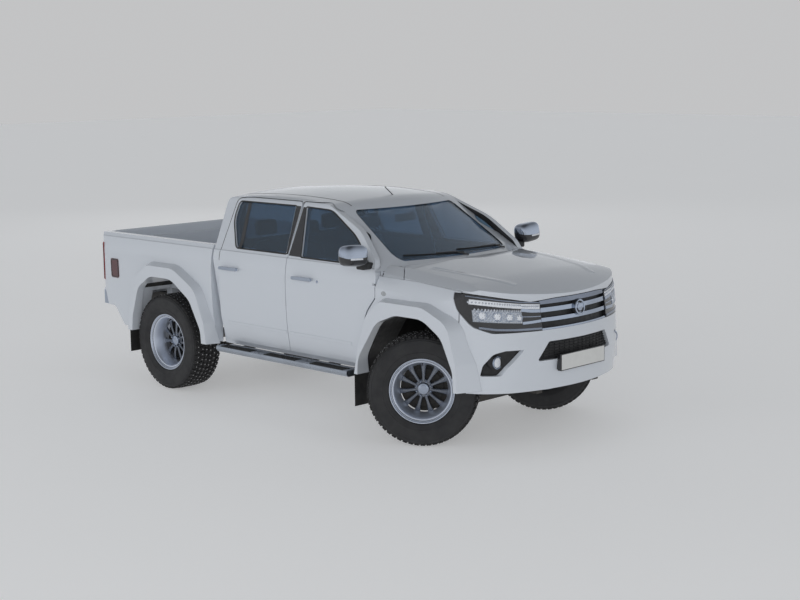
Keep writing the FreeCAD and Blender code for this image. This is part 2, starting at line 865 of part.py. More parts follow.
def bonnet_shape():
    """Bonnet between the wing seams, its front edge over grille and lamps, with two hinge arms."""
    panel = nose_volume(0).cut(nose_volume(mm("bonnet_thickness")))
    panel = panel.common(prism_xy(wing_seam(0), 1000, 1600))
    panel = panel.common(prism_yz(bonnet_lip(0), 900, 2800))
    panel = panel.common(prism_xy(bonnet_plan(0), 1000, 1600))
    y = mm("bonnet_hinge_y")
    x, z = mm("bonnet_hinge_x"), mm("bonnet_hinge_z")
    boss = mm("bonnet_hinge_boss")
    arm = prism_xz([
        (x - boss, z - boss, boss * 0.9), (x + 80, z - boss, 20), (x + 190, z + 20), (x + 190, 1400), (x + 96, 1400),
        (x + 92, z + 24, 20), (x + 60, z + boss, 20), (x - boss, z + boss, boss * 0.9),
    ], -(y + 10), -y)
    arm = arm.common(nose_volume(mm("bonnet_thickness") - 2))
    arm = arm.cut(rod((x, -(y + 20), z), (x, -(y - 20), z), mm("hinge_pin_radius") + mm("pin_clearance")))
    return panel.fuse([arm, mirrored(arm)])


def wings_shape():
    """Both front wings: the skin from the door to lamp and bumper, with its arch cut."""
    thin = mm("wing_thickness")
    skin = nose_volume(0).cut(nose_volume(thin))
    seam = prism_xy(wing_seam(mm("bonnet_gap")), 900, 1700)
    skin = skin.cut(seam).cut(prism_xy([(900, -700), (2900, -700), (2900, 700), (900, 700)], 300, 1700))
    zone = prism_xz([
        (mm("wing_rear_x"), 1118), (1188, 1008, 200), (1110, 790, 200), (1052, 505), (2126, 505),
        (mm("bumper_split_x") - 6, 1600), (mm("wing_rear_x"), 1600),
    ], -1000, 1000)
    zone = zone.fuse(block((2100, 2400), (-1000, 1000), (1258, 1600)))
    wing = skin.common(zone).cut(prism_xz(arch_outline(True), -1100, 1100))
    wing = wing.cut(both(lamp_zone(4)))
    wing = wing.common(block((1000, 2800), (-1000, -600), (300, 1700)))
    keep = max(wing.Solids, key=lambda solid: solid.Volume)
    return both(keep)


def bumper_shape():
    """Front bumper: wrapped skin with a lower intake and two fog lamp pockets."""
    thick = mm("bumper_thickness")
    top = mm("bumper_top_z")
    skin = nose_volume(0).cut(nose_volume(thick))
    zone = block((mm("bumper_split_x"), 2800), (-1000, 1000), (mm("bumper_bottom_z"), top))
    corner = prism_xz([
        (mm("bumper_split_x"), top - 60), (mm("bumper_split_x"), 1112), (2170, 1060, 60), (2228, 992, 60),
        (2350, top), (2350, top - 60),
    ], -1000, 1000)
    corner = corner.cut(block((2000, 2800), (-700, 700), (800, 1200)))
    skin = skin.common(zone.fuse(corner))
    skin = skin.cut(both(lamp_zone(4)))
    skin = skin.cut(prism_xz(arch_outline(True), -1100, 1100))
    skin = skin.cut(prism_yz(intake_outline(0), 2000, 2800))
    skin = skin.cut(both(prism_yz(fog_pocket_outline(0), 2100, 2800)))
    end = -mm("rear_end_x")
    half, z = mm("plate_half_width"), mm("plate_z")
    holder = block((end - 50, end), (-half, half), (z - 58, z + 58)).cut(nose_volume(0.5))
    return skin.fuse(holder)


def intake_outline(shrink):
    """Front view of the lower intake."""
    return [
        (-(450 - shrink), 712 + shrink, 12), (450 - shrink, 712 + shrink, 12),
        (345 - shrink, 856 - shrink, 24), (-(345 - shrink), 856 - shrink, 24),
    ]


def fog_pocket_outline(shrink):
    """Front view of the right-hand fog lamp pocket."""
    return [
        (-(820 - shrink), 620 + shrink, 10), (-(812 - shrink), 702, 60), (-(760 - shrink), 790 - shrink, 60),
        (-(690 - shrink), 812 - shrink, 30), (-(556 + shrink), 812 - shrink, 4), (-(668 + shrink), 690, 90),
        (-(712 + shrink), 620 + shrink, 20),
    ]


def grille_shape():
    """Upper grille of three bars over a backing panel, and the lower intake's panel."""
    half = mm("grille_half_width")
    depth = mm("grille_depth")
    low, high = mm("bumper_top_z"), 1170.0
    bars = []
    for z_low, z_high in ((1138, 1174), (1078, 1112), (1006, 1036), (low, low + 14)):
        bars.append(block((2300, 2800), (-half, half), (z_low, z_high)))
    skin = nose_volume(6).cut(nose_volume(depth))
    backing = nose_volume(depth).cut(nose_volume(depth + 10))
    upper = skin.common(fused(bars)).fuse(backing.common(block((2300, 2800), (-half, half), (low, high))))
    upper = upper.cut(prism_yz(bonnet_lip(-mm("bonnet_gap")), 900, 2800))
    boss = rod((2470, 0, 1082), (2588, 0, 1082), 62)
    boss = boss.cut(nose_volume(depth + 4)).common(nose_volume(-10))
    upper = upper.fuse(boss)
    inset = mm("bumper_thickness")
    lower = nose_volume(inset).cut(nose_volume(inset + 12))
    lower = lower.common(prism_yz(intake_outline(-20), 2000, 2800))
    return Part.Compound([upper.removeSplitter(), lower])


def front_lamps_shape():
    """Two headlamps filling their openings, and two round fog lamps in their pockets."""
    depth = mm("lamp_depth")
    lamp = nose_volume(1).cut(nose_volume(depth)).common(lamp_zone(0))
    lamp = max(lamp.Solids, key=lambda solid: solid.Volume)
    inset = mm("bumper_thickness")
    pocket = nose_volume(inset).cut(nose_volume(inset + 10))
    pocket = pocket.common(prism_yz(fog_pocket_outline(-10), 2100, 2800))
    fog = rod((2280, -724, 722), (2372, -724, 722), 52)
    fog = fog.cut(nose_volume(inset + 4)).common(nose_volume(16))
    fog = pocket.fuse(fog)
    return Part.Compound([lamp, mirrored(lamp), fog, mirrored(fog)])


def flare_shape(front):
    """Right-hand arch flare: a wide lip with a sloping flank, seated on the body side."""
    crest_y = mm("flare_y")
    base_y = 800.0
    spread = crest_y - base_y
    low = mm("sill_z")
    shift = 0.0 if front else 3085.0 - mm("wheelbase")
    if front:
        crest = [
            (1098, low, 0, -0.30, 0), (1156, 770, 200, -0.30, 0.06), (1236, 990, 200, -0.30, 0.14),
            (1392, 1118, 110, -0.34, 0.30), (1850, 1118, 220, 0.10, 0.34), (2110, 1010, 180, 0.30, 0.28),
            (2196, 700, 200, 0.42, 0.04), (2206, low, 0, 0.42, 0),
        ]
    else:
        crest = [
            (-1972, low, 0, -0.42, 0), (-1944, 720, 200, -0.42, 0.02), (-1880, 996, 170, -0.42, 0.20),
            (-1652, 1142, 180, -0.20, 0.42), (-1260, 1142, 260, 0.10, 0.42), (-950, 978, 220, 0.36, 0.30),
            (-828, 690, 200, 0.36, 0.04), (-800, low, 0, 0.36, 0),
        ]
    top = [(x + shift, z, r) for x, z, r, _, _ in crest]
    foot = [(x + shift + dx * spread, z + dz * spread, r * 1.15) for x, z, r, dx, dz in crest]
    flank = Part.makeLoft([outline(foot, on_xz(-base_y)), outline(top, on_xz(-crest_y))], True, True)
    opening = prism_xz(arch_outline(front, -10), -1200, -500)
    if front:
        body = nose_volume(0).fuse(side_solid(0, 900, 1290))
    else:
        body = side_solid(0, -2700, -700)
    return flank.cut(opening).cut(body)


def flares_shape():
    """Flares of all four arches."""
    solids = []
    for front in (True, False):
        shape = flare_shape(front)
        lip = max(shape.Solids, key=lambda solid: solid.Volume)
        solids += [lip, mirrored(lip)]
    return Part.Compound(solids)


def liner_shape(front):
    """Right-hand wheel arch liner: a thin curved sheet over the wheel."""
    outer = prism_xz(arch_outline(front, 0), -1000, -mm("liner_inner_y"))
    inner = prism_xz(arch_outline(front, -mm("liner_thickness")), -1100, -500)
    sheet = outer.cut(inner)
    return sheet.cut(block((-3000, 3000), (-1100, 0), (300, 560)))


def liners_shape():
    """Front arch liners, each with the upright apron that ties it to the firewall."""
    inner_y = mm("liner_inner_y")
    thick = mm("liner_thickness")
    opening = prism_xz(arch_outline(True, -thick / 2), -1100, -500)
    apron = prism_xz([(1112, 905), (1112, 1128), (1292, 1178), (1292, 1206), (2150, 1190), (2150, 740)],
                     -(inner_y + thick), -inner_y).cut(opening)
    ledge = prism_xz([(1292, 1200), (1292, 1206), (2050, 1192), (2050, 1186)], -1000, -inner_y)
    side = liner_shape(True).fuse([apron, ledge])
    side = side.common(nose_volume(mm("wing_thickness")))
    return both(max(side.Solids, key=lambda solid: solid.Volume))


# Bed

def bed_side_view():
    """Side view of the bed, its lower edge stepping up behind the rear wheels."""
    front, rear = mm("bed_front_x"), mm("bed_rear_x")
    rail = mm("bed_rail_z")
    low = mm("sill_z")
    return [
        (front, low, 20), (front, rail, 16), (rear, rail, 24), (rear, mm("step_z") + 8), (rear + 76, mm("step_z") + 8),
        (rear + 92, 690, 20), (-2300, 690, 60), (-2205, low, 30),
    ]


def bed_outside(skin=0.0):
    """Outer form of the bed, with rounded rear corners."""
    front, rear = mm("bed_front_x"), mm("bed_rear_x") + skin
    corner = 118.0 - skin
    half = mm("half_width") + 10
    plan = prism_xy([(front, -half), (front, half), (rear, half - 10 - skin, corner), (rear, -half + 10 + skin, corner)],
                    400, 1500)
    return plan.common(side_solid(skin, rear - 10, front))


def bed_shape():
    """Bed: double walls, floor on cross sills, wheel boxes and a headboard, open at the tailgate."""
    front, rear = mm("bed_front_x"), mm("bed_rear_x")
    rail, floor = mm("bed_rail_z"), mm("bed_floor_z")
    under = floor - mm("bed_floor_thickness")
    inner = mm("half_width") - mm("bed_wall")
    gate = rear + mm("tailgate_thickness") + mm("tailgate_gap")
    post = mm("tailgate_half_width") + mm("tailgate_gap")
    whole = bed_outside().common(prism_xz(bed_side_view(), -1000, 1000))
    hollow = block((gate, front - mm("bed_head_thickness")), (-inner, inner), (floor, rail + 50))
    hollow = hollow.fuse(block((rear - 50, gate + 1), (-post, post), (300, rail + 50)))
    whole = whole.cut(hollow)
    whole = whole.cut(block((gate, front + 20), (-inner, inner), (300, under)))
    whole = whole.cut(block((rear - 50, gate), (-inner, inner), (300, under)))
    well = prism_xz(arch_outline(False, 22), -(inner + 5), -(mm("liner_inner_y") - 62))
    well = well.common(block((-2100, front), (-1000, 0), (under, 1200)))
    whole = whole.fuse([well, mirrored(well)])
    arch = prism_xz(arch_outline(False), -1100, -(mm("liner_inner_y") - 40))
    whole = whole.cut([arch, mirrored(arch)])
    kicked = mm("rail_top_z") + mm("rail_kick")
    sills = [block((x - 40, x + 40), (-560, 560), (kicked, under + 1)) for x in (-1010, -1455, -1900, -2340)]
    whole = whole.fuse(sills)
    z = mm("tailgate_hinge_z")
    x = rear + mm("tailgate_thickness") / 2
    bore = rod((x, -(post + 34), z), (x, post + 34, z), mm("hinge_pin_radius") + mm("pin_clearance"))
    return whole.cut(bore).removeSplitter()


def tailgate_shape():
    """Tailgate: full-height panel, thinner along its top, turning on two pins at its foot."""
    rear = mm("bed_rear_x")
    thick = mm("tailgate_thickness")
    half = mm("tailgate_half_width")
    top, low = mm("bed_rail_z"), mm("tailgate_hinge_z")
    panel = prism_xz([
        (rear, low - thick / 2, thick / 2 - 0.5), (rear, top, 14), (rear + thick - 18, top, 14),
        (rear + thick - 16, top - 84), (rear + thick, top - 92), (rear + thick, low - thick / 2, thick / 2 - 0.5),
    ], -half, half)
    grip = prism_xz([(rear - 16, 1262, 6), (rear - 16, 1316, 6), (rear + 4, 1322), (rear + 4, 1256)], -120, 120)
    axis_x = rear + thick / 2
    reach = half + mm("tailgate_gap") + 26
    pin = rod((axis_x, -reach, low), (axis_x, reach, low), mm("hinge_pin_radius"))
    return fused([panel, grip, pin])


def rear_bumper_shape():
    """Step bumper: a bent bar with returned ends, its top pad drilled for a tow ball."""
    end, step = mm("rear_end_x"), mm("step_z")
    low = step - mm("step_depth")
    face = mm("bed_rear_x") - 6

    def plan(inset):
        return [
            (face + 70 + inset * 3, -(888 - inset)), (face, -(884 - inset), 20), (end + inset, -(800 - inset), 60),
            (end + inset, 800 - inset, 60), (face, 884 - inset, 20), (face + 70 + inset * 3, 888 - inset),
            (face + 70 + inset * 3, 836), (face - 14, 836), (face - 14, -836), (face + 70 + inset * 3, -836),
        ]

    bar = prism_xy(plan(0), low, step)
    hollow = prism_xy(plan(12), low - 20, step - 12)
    bar = bar.cut(hollow)
    dip = block((face - 200, face + 100), (-330, 330), (step - 26, step + 50))
    dip = dip.cut(block((face - 300, face + 200), (-331, 331), (step - 100, step - 26)))
    pad = block((end + 6, face - 14), (-330, 330), (step - 38, step - 26))
    bar = bar.cut(dip).fuse(pad)
    rail_y, width = mm("rail_y"), mm("rail_width")
    kicked = mm("rail_top_z") + mm("rail_kick")
    arm = block((face - 26, -2400), (-rail_y, width - rail_y), (kicked, kicked + 26))
    tie = block((face - 26, face - 14), (-rail_y, rail_y), (kicked - 30, step - 12))
    bar = bar.fuse([arm, mirrored(arm), tie])
    hole = rod((end + 62, 0, step - 80), (end + 62, 0, step + 10), mm("ball_hole_radius"))
    return bar.cut(hole).removeSplitter()


def tail_lamps_shape():
    """Tail lamps wrapped round the rear corners, and the small lenses ahead of them."""
    rear = mm("bed_rear_x")
    outer = bed_outside(-9).cut(bed_outside(0))
    lamp = outer.common(block((rear - 20, rear + 72), (-1000, -790), (930, 1290)))
    lens = side_solid(-5, -2309, -2188).cut(side_solid(0, -2400, -2100))
    lens = lens.common(prism_xz([(-2309, 965, 20), (-2309, 1148, 20), (-2188, 1148, 20), (-2188, 965, 20)], -1000, -600))
    return Part.Compound([lamp, mirrored(lamp), lens, mirrored(lens)])


# Outside trim

def mirror_shape(side):
    """Door mirror: a rounded housing on a foot that stands on the door's belt."""
    housing = prism_xz([
        (1095, 1372, 40), (1082, 1545, 60), (1190, 1556, 70), (1262, 1480, 60), (1258, 1384, 40),
    ], -1180, -935)
    rims = [edge for edge in housing.Edges if edge.BoundBox.YLength < 1]
    housing = housing.makeChamfer(14, rims)
    foot = prism_xz([(1118, 1338, 10), (1118, 1400), (1216, 1400), (1216, 1338, 10)], -1000, -840)
    foot = foot.cut(side_solid(0, 1000, 1400))
    whole = housing.fuse(max(foot.Solids, key=lambda solid: solid.Volume)).removeSplitter()
    return whole if side < 0 else mirrored(whole)


def side_step_shape():
    """Running boards with their brackets out from the frame rails."""
    board = prism_yz([
        (-1000, 486, 12), (-996, 516, 10), (-908, 517, 6), (-896, 500, 4), (-800, 500, 6), (-800, 466, 10),
        (-980, 462, 16),
    ], -655, 1010)
    arms = [block((x - 22, x + 22), (-810, -mm("rail_y")), (468, 496)) for x in (-520, 590, 900)]
    return both(fused([board] + arms))


def mud_flaps_shape():
    """Four flaps hanging from the rear feet of the flares."""
    top = mm("sill_z")
    front = block((1100, 1106), (-996, -735), (240, top))
    rear = block((-1946, -1940), (-996, -735), (300, top))
    front = front.fuse(block((1100, 1106), (-840, -735), (500, 560)))
    return Part.Compound([front, rear, mirrored(front), mirrored(rear)])


def antenna_shape():
    """Short antenna leaning back from the front of the roof."""
    base = Part.makeCone(24, 14, 22, Vector(580, 0, 1812))
    mast = rod((580, 0, 1826), (470, 0, 1900), 4)
    whole = fused([base, mast])
    return whole.cut(cab_volume(0, 0, 0, 0))


# Cabin

def seat_shape(y, width, cushion_front, squab_foot, recline, top_z):
    """One seat: cushion, leaning squab and head restraint on two posts."""
    low = mm("floor_z") + mm("floor_thickness")
    half = width / 2
    cushion = prism_xz([
        (squab_foot - 20, low, 10), (squab_foot - 40, 880, 30), (cushion_front, 905, 60), (cushion_front + 10, 790, 30),
        (cushion_front - 60, low, 10),
    ], y - half, y + half)
    rise = top_z - 860
    lean = rise * recline
    squab = prism_xz([
        (squab_foot - 60, 860, 20), (squab_foot - 60 - lean, top_z, 40), (squab_foot + 50 - lean, top_z, 40),
        (squab_foot + 70, 860, 20),
    ], y - half + 8, y + half - 8)
    return fused([cushion, squab])


def head_restraint(y, x, z):
    """Head restraint above a squab."""
    pad = prism_xz([(x - 45, z, 20), (x - 60, z + 150, 30), (x + 25, z + 150, 30), (x + 45, z, 20)], y - 130, y + 130)
    posts = [rod((x, y + side * 60, z - 60), (x - 4, y + side * 60, z + 20), 7) for side in (-1, 1)]
    return fused([pad] + posts)


def front_seats_shape():
    """Two front seats."""
    seats = []
    for side in (-1, 1):
        y = side * mm("seat_y")
        seat = seat_shape(y, mm("seat_width"), 560, 60, 0.30, 1440)
        seats.append(fused([seat, head_restraint(y, -118, 1460)]))
    return Part.Compound(seats)


def rear_seat_shape():
    """Rear bench with two head restraints."""
    seat = seat_shape(0, 1240, -180, -560, 0.14, 1420)
    return fused([seat] + [head_restraint(side * 400, -640, 1438) for side in (-1, 1)])


def column_axis():
    """Unit vector from the dashboard back towards the driver, along the steering column."""
    tilt = math.radians(mm("column_tilt"))
    return Vector(-math.cos(tilt), 0, math.sin(tilt))


def hub_point(along):
    """Point on the steering column, measured towards the driver from the wheel's hub."""
    hub = Vector(mm("wheel_hub_x"), mm("seat_y"), mm("wheel_hub_z"))
    return hub + column_axis() * along


def dashboard_shape():
    """Dashboard across the cabin, with centre console, binnacle and steering column shroud."""
    half = mm("dash_half_width")
    low = mm("floor_z") + mm("floor_thickness")
    top = prism_xz([
        (870, 960, 30), (812, 1120, 40), (880, 1236, 60), (1010, 1282, 200), (1255, 1288), (1255, 1206),
        (1082, 1156), (1082, 960),
    ], -half, half)
    console = prism_xz([(60, low, 20), (60, 850, 30), (560, 850, 200), (830, 1000), (990, 1000), (990, low)], -120, 120)
    binnacle = prism_xz([(826, 1170), (840, 1296, 30), (960, 1310, 60), (1080, 1270)], 200, 540)
    shroud = rod(hub_point(-60), hub_point(-330), 46)
    whole = fused([top, console, binnacle, shroud])
    bore = rod(hub_point(-20), hub_point(-140), mm("column_radius") + mm("pin_clearance"))
    return whole.cut(bore)


# Sizes that carry their formula

class Dim:
    """A length and the spreadsheet formula that gives it."""

    def __init__(self, value, text):
        self.value = float(value)
        self.text = text

    @staticmethod
    def of(item):
        """Take a plain number as a length without a formula."""
        return item if isinstance(item, Dim) else Dim(item, repr(float(item)))

    def joined(self, other, sign, value):
        """Length whose formula joins two others."""
        return Dim(value, f"({self.text} {sign} {other.text})")

    def __add__(self, other):
        other = Dim.of(other)
        return self.joined(other, "+", self.value + other.value)

    def __radd__(self, other):
        return Dim.of(other) + self

    def __sub__(self, other):
        other = Dim.of(other)
        return self.joined(other, "-", self.value - other.value)

    def __rsub__(self, other):
        return Dim.of(other) - self

    def __mul__(self, other):
        other = Dim.of(other)
        return self.joined(other, "*", self.value * other.value)

    def __rmul__(self, other):
        return Dim.of(other) * self

    def __truediv__(self, other):
        other = Dim.of(other)
        return self.joined(other, "/", self.value / other.value)

    def __neg__(self):
        return Dim.of(0) - self


def dim(name):
    """One driving size as a length with its formula."""
    return Dim(mm(name), f"sizes.{name}")


def bind(item, path, size):
    """Tie one property of a document object to the sheet."""
    item.setExpression(path, Dim.of(size).text)


# Document objects

def seat_at(item, base, rotation=Rotation()):
    """Place an object, its position tied to the sheet."""
    base = [Dim.of(value) for value in base]
    item.Placement = Placement(Vector(*[value.value for value in base]), rotation)
    for axis, value in zip("xyz", base):
        bind(item, f"Placement.Base.{axis}", value)


def box(name, x, y, z):
    """Rectangular block from (low, high) pairs."""
    item = DOC.addObject("Part::Box", name)
    for path, pair in (("Length", x), ("Width", y), ("Height", z)):
        bind(item, path, Dim.of(pair[1]) - pair[0])
    seat_at(item, (x[0], y[0], z[0]))
    return item


ALONG = {
    "x": Rotation(Vector(0, 1, 0), 90),
    "y": Rotation(Vector(1, 0, 0), -90),
    "z": Rotation(),
}


def bar(name, axis, start, length, radius):
    """Round bar along one axis."""
    item = DOC.addObject("Part::Cylinder", name)
    bind(item, "Radius", radius)
    bind(item, "Height", length)
    seat_at(item, start, ALONG[axis])
    return item


def ball(name, centre, radius):
    """Sphere."""
    item = DOC.addObject("Part::Sphere", name)
    bind(item, "Radius", radius)
    seat_at(item, centre)
    return item


def formed(name, shape):
    """Document object around a shape formed from curves or outlines."""
    item = DOC.addObject("Part::Feature", name)
    item.Shape = shape
    return item


def union(name, items):
    """Several touching or overlapping objects as one solid."""
    item = DOC.addObject("Part::MultiFuse", name)
    item.Shapes = items
    item.Refine = True
    return item


def twin(name, item):
    """The object on the other side of the vehicle."""
    copy = DOC.addObject("Part::Mirroring", name)
    copy.Source = item
    copy.Normal = Vector(0, 1, 0)
    copy.Base = Vector(0, 0, 0)
    return copy


NODES = {}


def subpart(label, item):
    """Register a finished sub-part under its name."""
    item.Label = label
    NODES[label] = item
    return item


# Sketched bodies

def origin_plane(body, role):
    """One of a body's own origin planes."""
    return next(feature for feature in body.Origin.OriginFeatures if feature.Role == role)


def sketch_on(body, name, role, points):
    """Closed polygon on an origin plane, each corner tied to the sheet by its two coordinates."""
    sketch = body.newObject("Sketcher::SketchObject", name)
    sketch.AttachmentSupport = [(origin_plane(body, role), "")]
    sketch.MapMode = "FlatFace"
    corners = [(Dim.of(a), Dim.of(b)) for a, b in points]
    count = len(corners)
    for index, (a, b) in enumerate(corners):
        after = corners[(index + 1) % count]
        start = Vector(a.value, b.value, 0)
        end = Vector(after[0].value, after[1].value, 0)
        sketch.addGeometry(Part.LineSegment(start, end), False)
    for index in range(count):
        sketch.addConstraint(Sketcher.Constraint("Coincident", index, 2, (index + 1) % count, 1))
    for index, corner in enumerate(corners):
        for kind, size in (("DistanceX", corner[0]), ("DistanceY", corner[1])):
            if size.value >= 0:
                rule = Sketcher.Constraint(kind, -1, 1, index, 1, size.value)
            else:
                rule = Sketcher.Constraint(kind, index, 1, -1, 1, -size.value)
                size = -size
            number = sketch.addConstraint(rule)
            bind(sketch, f"Constraints[{number}]", size)
    return sketch


def pad(body, name, sketch, length, midplane=False):
    """Pad of a sketch, with its length tied to the sheet."""
    feature = body.newObject("PartDesign::Pad", name)
    feature.Profile = sketch
    bind(feature, "Length", length)
    feature.Midplane = midplane
    return feature


def spin(body, name, sketch, axis):
    """Full revolution of a sketch about one of its own axes."""
    feature = body.newObject("PartDesign::Revolution", name)
    feature.Profile = sketch
    feature.ReferenceAxis = (sketch, [axis])
    feature.Angle = 360
    return feature


# Wheels

def tyre_body(name):
    """Tyre as a ring round the wheel's axle, its sidewalls bulging past the rim's lips."""
    body = DOC.addObject("PartDesign::Body", name)
    out = dim("tyre_radius")
    half = dim("tyre_width") / 2
    seat = dim("rim_radius")
    bead = dim("rim_seat")
    tread = dim("tread_width") / 2
    profile = [
        (-tread, out), (tread, out), (half, out - dim("shoulder_drop")), (half, seat + dim("wall_height") * 0.45),
        (bead, seat), (-bead, seat), (-half, seat + dim("wall_height") * 0.45), (-half, out - dim("shoulder_drop")),
    ]
    sketch = sketch_on(body, name + "_section", "YZ_Plane", profile)
    spin(body, name + "_ring", sketch, "H_Axis")
    return body


def rim_body(name, side, drum):
    """Deep-dish rim: barrel with two lips, spokes well inside the outer lip, hub and brake rotor."""
    body = DOC.addObject("PartDesign::Body", name)
    out = float(side)
    seat = dim("rim_radius")
    lip = seat + dim("rim_lip")
    inner = seat - dim("rim_wall")
    bead = dim("rim_seat")
    edge = dim("rim_face")
    slope = dim("tyre_width") / 2 - bead
    foot = bead + slope * dim("rim_lip") / (dim("wall_height") * 0.45)
    face = dim("spoke_face")
    profile = [
        (-edge, lip), (-foot, lip), (-bead, seat), (bead, seat), (foot, lip), (edge, lip),
        (edge, lip - 12), (face, inner - dim("dish_taper")), (face - dim("spoke_depth"), inner), (-edge, inner + 8),
    ]
    profile = [(s * out, r) for s, r in profile]
    barrel = sketch_on(body, name + "_barrel", "YZ_Plane", profile)
    spin(body, name + "_barrel_ring", barrel, "H_Axis")
    bore = dim("spindle_radius") + dim("spindle_clearance")
    hub = dim("hub_radius")
    disc_in = -(dim("brake_offset") + drum)
    hub_in = -(dim("brake_offset") + drum + 4)
    hub_profile = [
        (hub_in, bore), (hub_in, hub), (disc_in, hub), (disc_in, dim("disc_radius")),
        (-dim("brake_offset"), dim("disc_radius")), (-dim("brake_offset"), hub + 8), (face - dim("spoke_depth"), hub + 14),
        (face, hub), (face + 6, dim("hub_cap_radius")), (face + 24, dim("hub_cap_radius") - 6), (face + 24, 0),
        (dim("spindle_depth"), 0), (dim("spindle_depth"), bore),
    ]
    hub_profile = [(s * out, r) for s, r in hub_profile]
    hub_sketch = sketch_on(body, name + "_hub", "YZ_Plane", hub_profile)
    spin(body, name + "_hub_ring", hub_sketch, "H_Axis")
    root, tip = dim("spoke_root") / 2, dim("spoke_tip") / 2
    spoke = sketch_on(body, name + "_spoke", "XZ_Plane", [
        (-root, hub - 6), (root, hub - 6), (tip, inner + 4), (-tip, inner + 4),
    ])
    bind(spoke, "AttachmentOffset.Base.z", face * -out if side < 0 else face * -out)
    spoke_pad = pad(body, name + "_spoke_bar", spoke, dim("spoke_depth"))
    spoke_pad.Reversed = side > 0
    pattern = body.newObject("PartDesign::PolarPattern", name + "_spokes")
    pattern.Originals = [spoke_pad]
    pattern.Axis = (spoke, ["H_Axis"])
    pattern.Axis = (barrel, ["H_Axis"])
    pattern.Angle = 360
    bind(pattern, "Occurrences", dim("spoke_count"))
    body.Tip = pattern
    return body


def steered(side, offset_y=0.0):
    """Placement that turns a front wheel's parts about its kingpin to the parked angle."""
    pivot = Vector(mm("front_axle_x"), side * mm("kingpin_y"), 0)
    turn = Rotation(Vector(0, 0, 1), mm("steer_rest"))
    centre = Vector(0, side * (mm("wheel_plane_y") - mm("kingpin_y")), mm("axle_height"))
    return Placement(pivot + turn.multVec(centre), turn)


def wheel_place(front, side):
    """Placement of a wheel at its axle's end."""
    if front:
        return steered(side)
    centre = Vector(mm("front_axle_x") - mm("wheelbase"), side * mm("wheel_plane_y"), mm("axle_height"))
    return Placement(centre, Rotation())


def add_wheels():
    """Four tyres and four rims."""
    for front, side, label in ((True, -1, "front_right"), (True, 1, "front_left"),
                               (False, -1, "rear_right"), (False, 1, "rear_left")):
        drum = dim("disc_thickness") if front else dim("drum_depth")
        for item in (subpart(f"tyre_{label}", tyre_body(f"Tyre_{label}")),
                     subpart(f"rim_{label}", rim_body(f"Rim_{label}", side, drum))):
            item.Placement = wheel_place(front, side)


def knuckle_shape(side):
    """Knuckle in the wheel's own frame: upright, ears on the kingpin line, spindle, steering arm."""
    out = side
    pivot = -(mm("wheel_plane_y") - mm("kingpin_y")) * out
    drop = mm("ball_joint_drop")
    arm = mm("steering_arm")
    face = -(mm("brake_offset") + mm("disc_thickness") + 4 + mm("knuckle_gap")) * out
    back = face - 55 * out
    low, high = sorted((face, back))
    upright = block((-44, 44), (low, high), (-drop + 20, drop - 20))
    ears = [rod((0, pivot, level), (0, pivot, level + 44), 26) for level in (-drop - 22, drop - 22)]
    spindle = rod((0, back, 0), (0, (mm("spindle_depth") - 2) * out, 0), mm("spindle_radius"))
    low, high = sorted((pivot - 13, pivot + 13))
    level = mm("tie_rod_z") - mm("axle_height")
    half = mm("steering_eye") / 2
    lever = block((-arm, -30), (low, high), (level - half, level + half))
    eye = rod((-arm, pivot, level - half), (-arm, pivot, level + half), 18)
    whole = fused([upright] + ears + [spindle, lever, eye])
    pin = mm("king_pin_radius") + mm("pin_clearance")
    for level in (-drop - 30, drop - 30):
        whole = whole.cut(rod((0, pivot, level), (0, pivot, level + 60), pin))
    return whole


def add_knuckles():
    """Steering knuckles, turned with the parked wheels."""
    for side, label in ((-1, "right"), (1, "left")):
        item = subpart(f"knuckle_{label}", formed(f"Knuckle_{label}", knuckle_shape(side)))
        item.Placement = steered(side)


def add_tie_rod():
    """Tie rod between the steering arms, open at one end's pivot."""
    drift = dim("steering_arm") * math.sin(math.radians(mm("steer_rest")))
    reach = dim("kingpin_y")
    level = dim("tie_rod_z") - dim("steering_eye") / 2 - dim("pin_clearance")
    drop = dim("tie_rod_radius") * 2 + 4
    start = (dim("tie_rod_x"), -reach - drift, level - drop / 2)
    pieces = [bar("TieRod", "y", start, reach * 2, dim("tie_rod_radius"))]
    for name, side in (("TieEndRight", -1), ("TieEndLeft", 1)):
        centre = (dim("tie_rod_x"), reach * side - drift, level - drop)
        pieces.append(bar(name, "z", centre, drop, dim("tie_rod_radius") + 3))
    subpart("tie_rods", union("TieRods", pieces))


# Chassis

def rail_outline():
    """Side view of a frame rail, kicked up over the rear axle."""
    top, depth, kick = mm("rail_top_z"), mm("rail_depth"), mm("rail_kick")
    low = top - depth
    return [
        (-2480, low + kick), (-1060, low + kick, 160), (-812, low, 160), (2470, low), (2470, top),
        (-772, top, 160), (-1020, top + kick, 160), (-2480, top + kick),
    ]


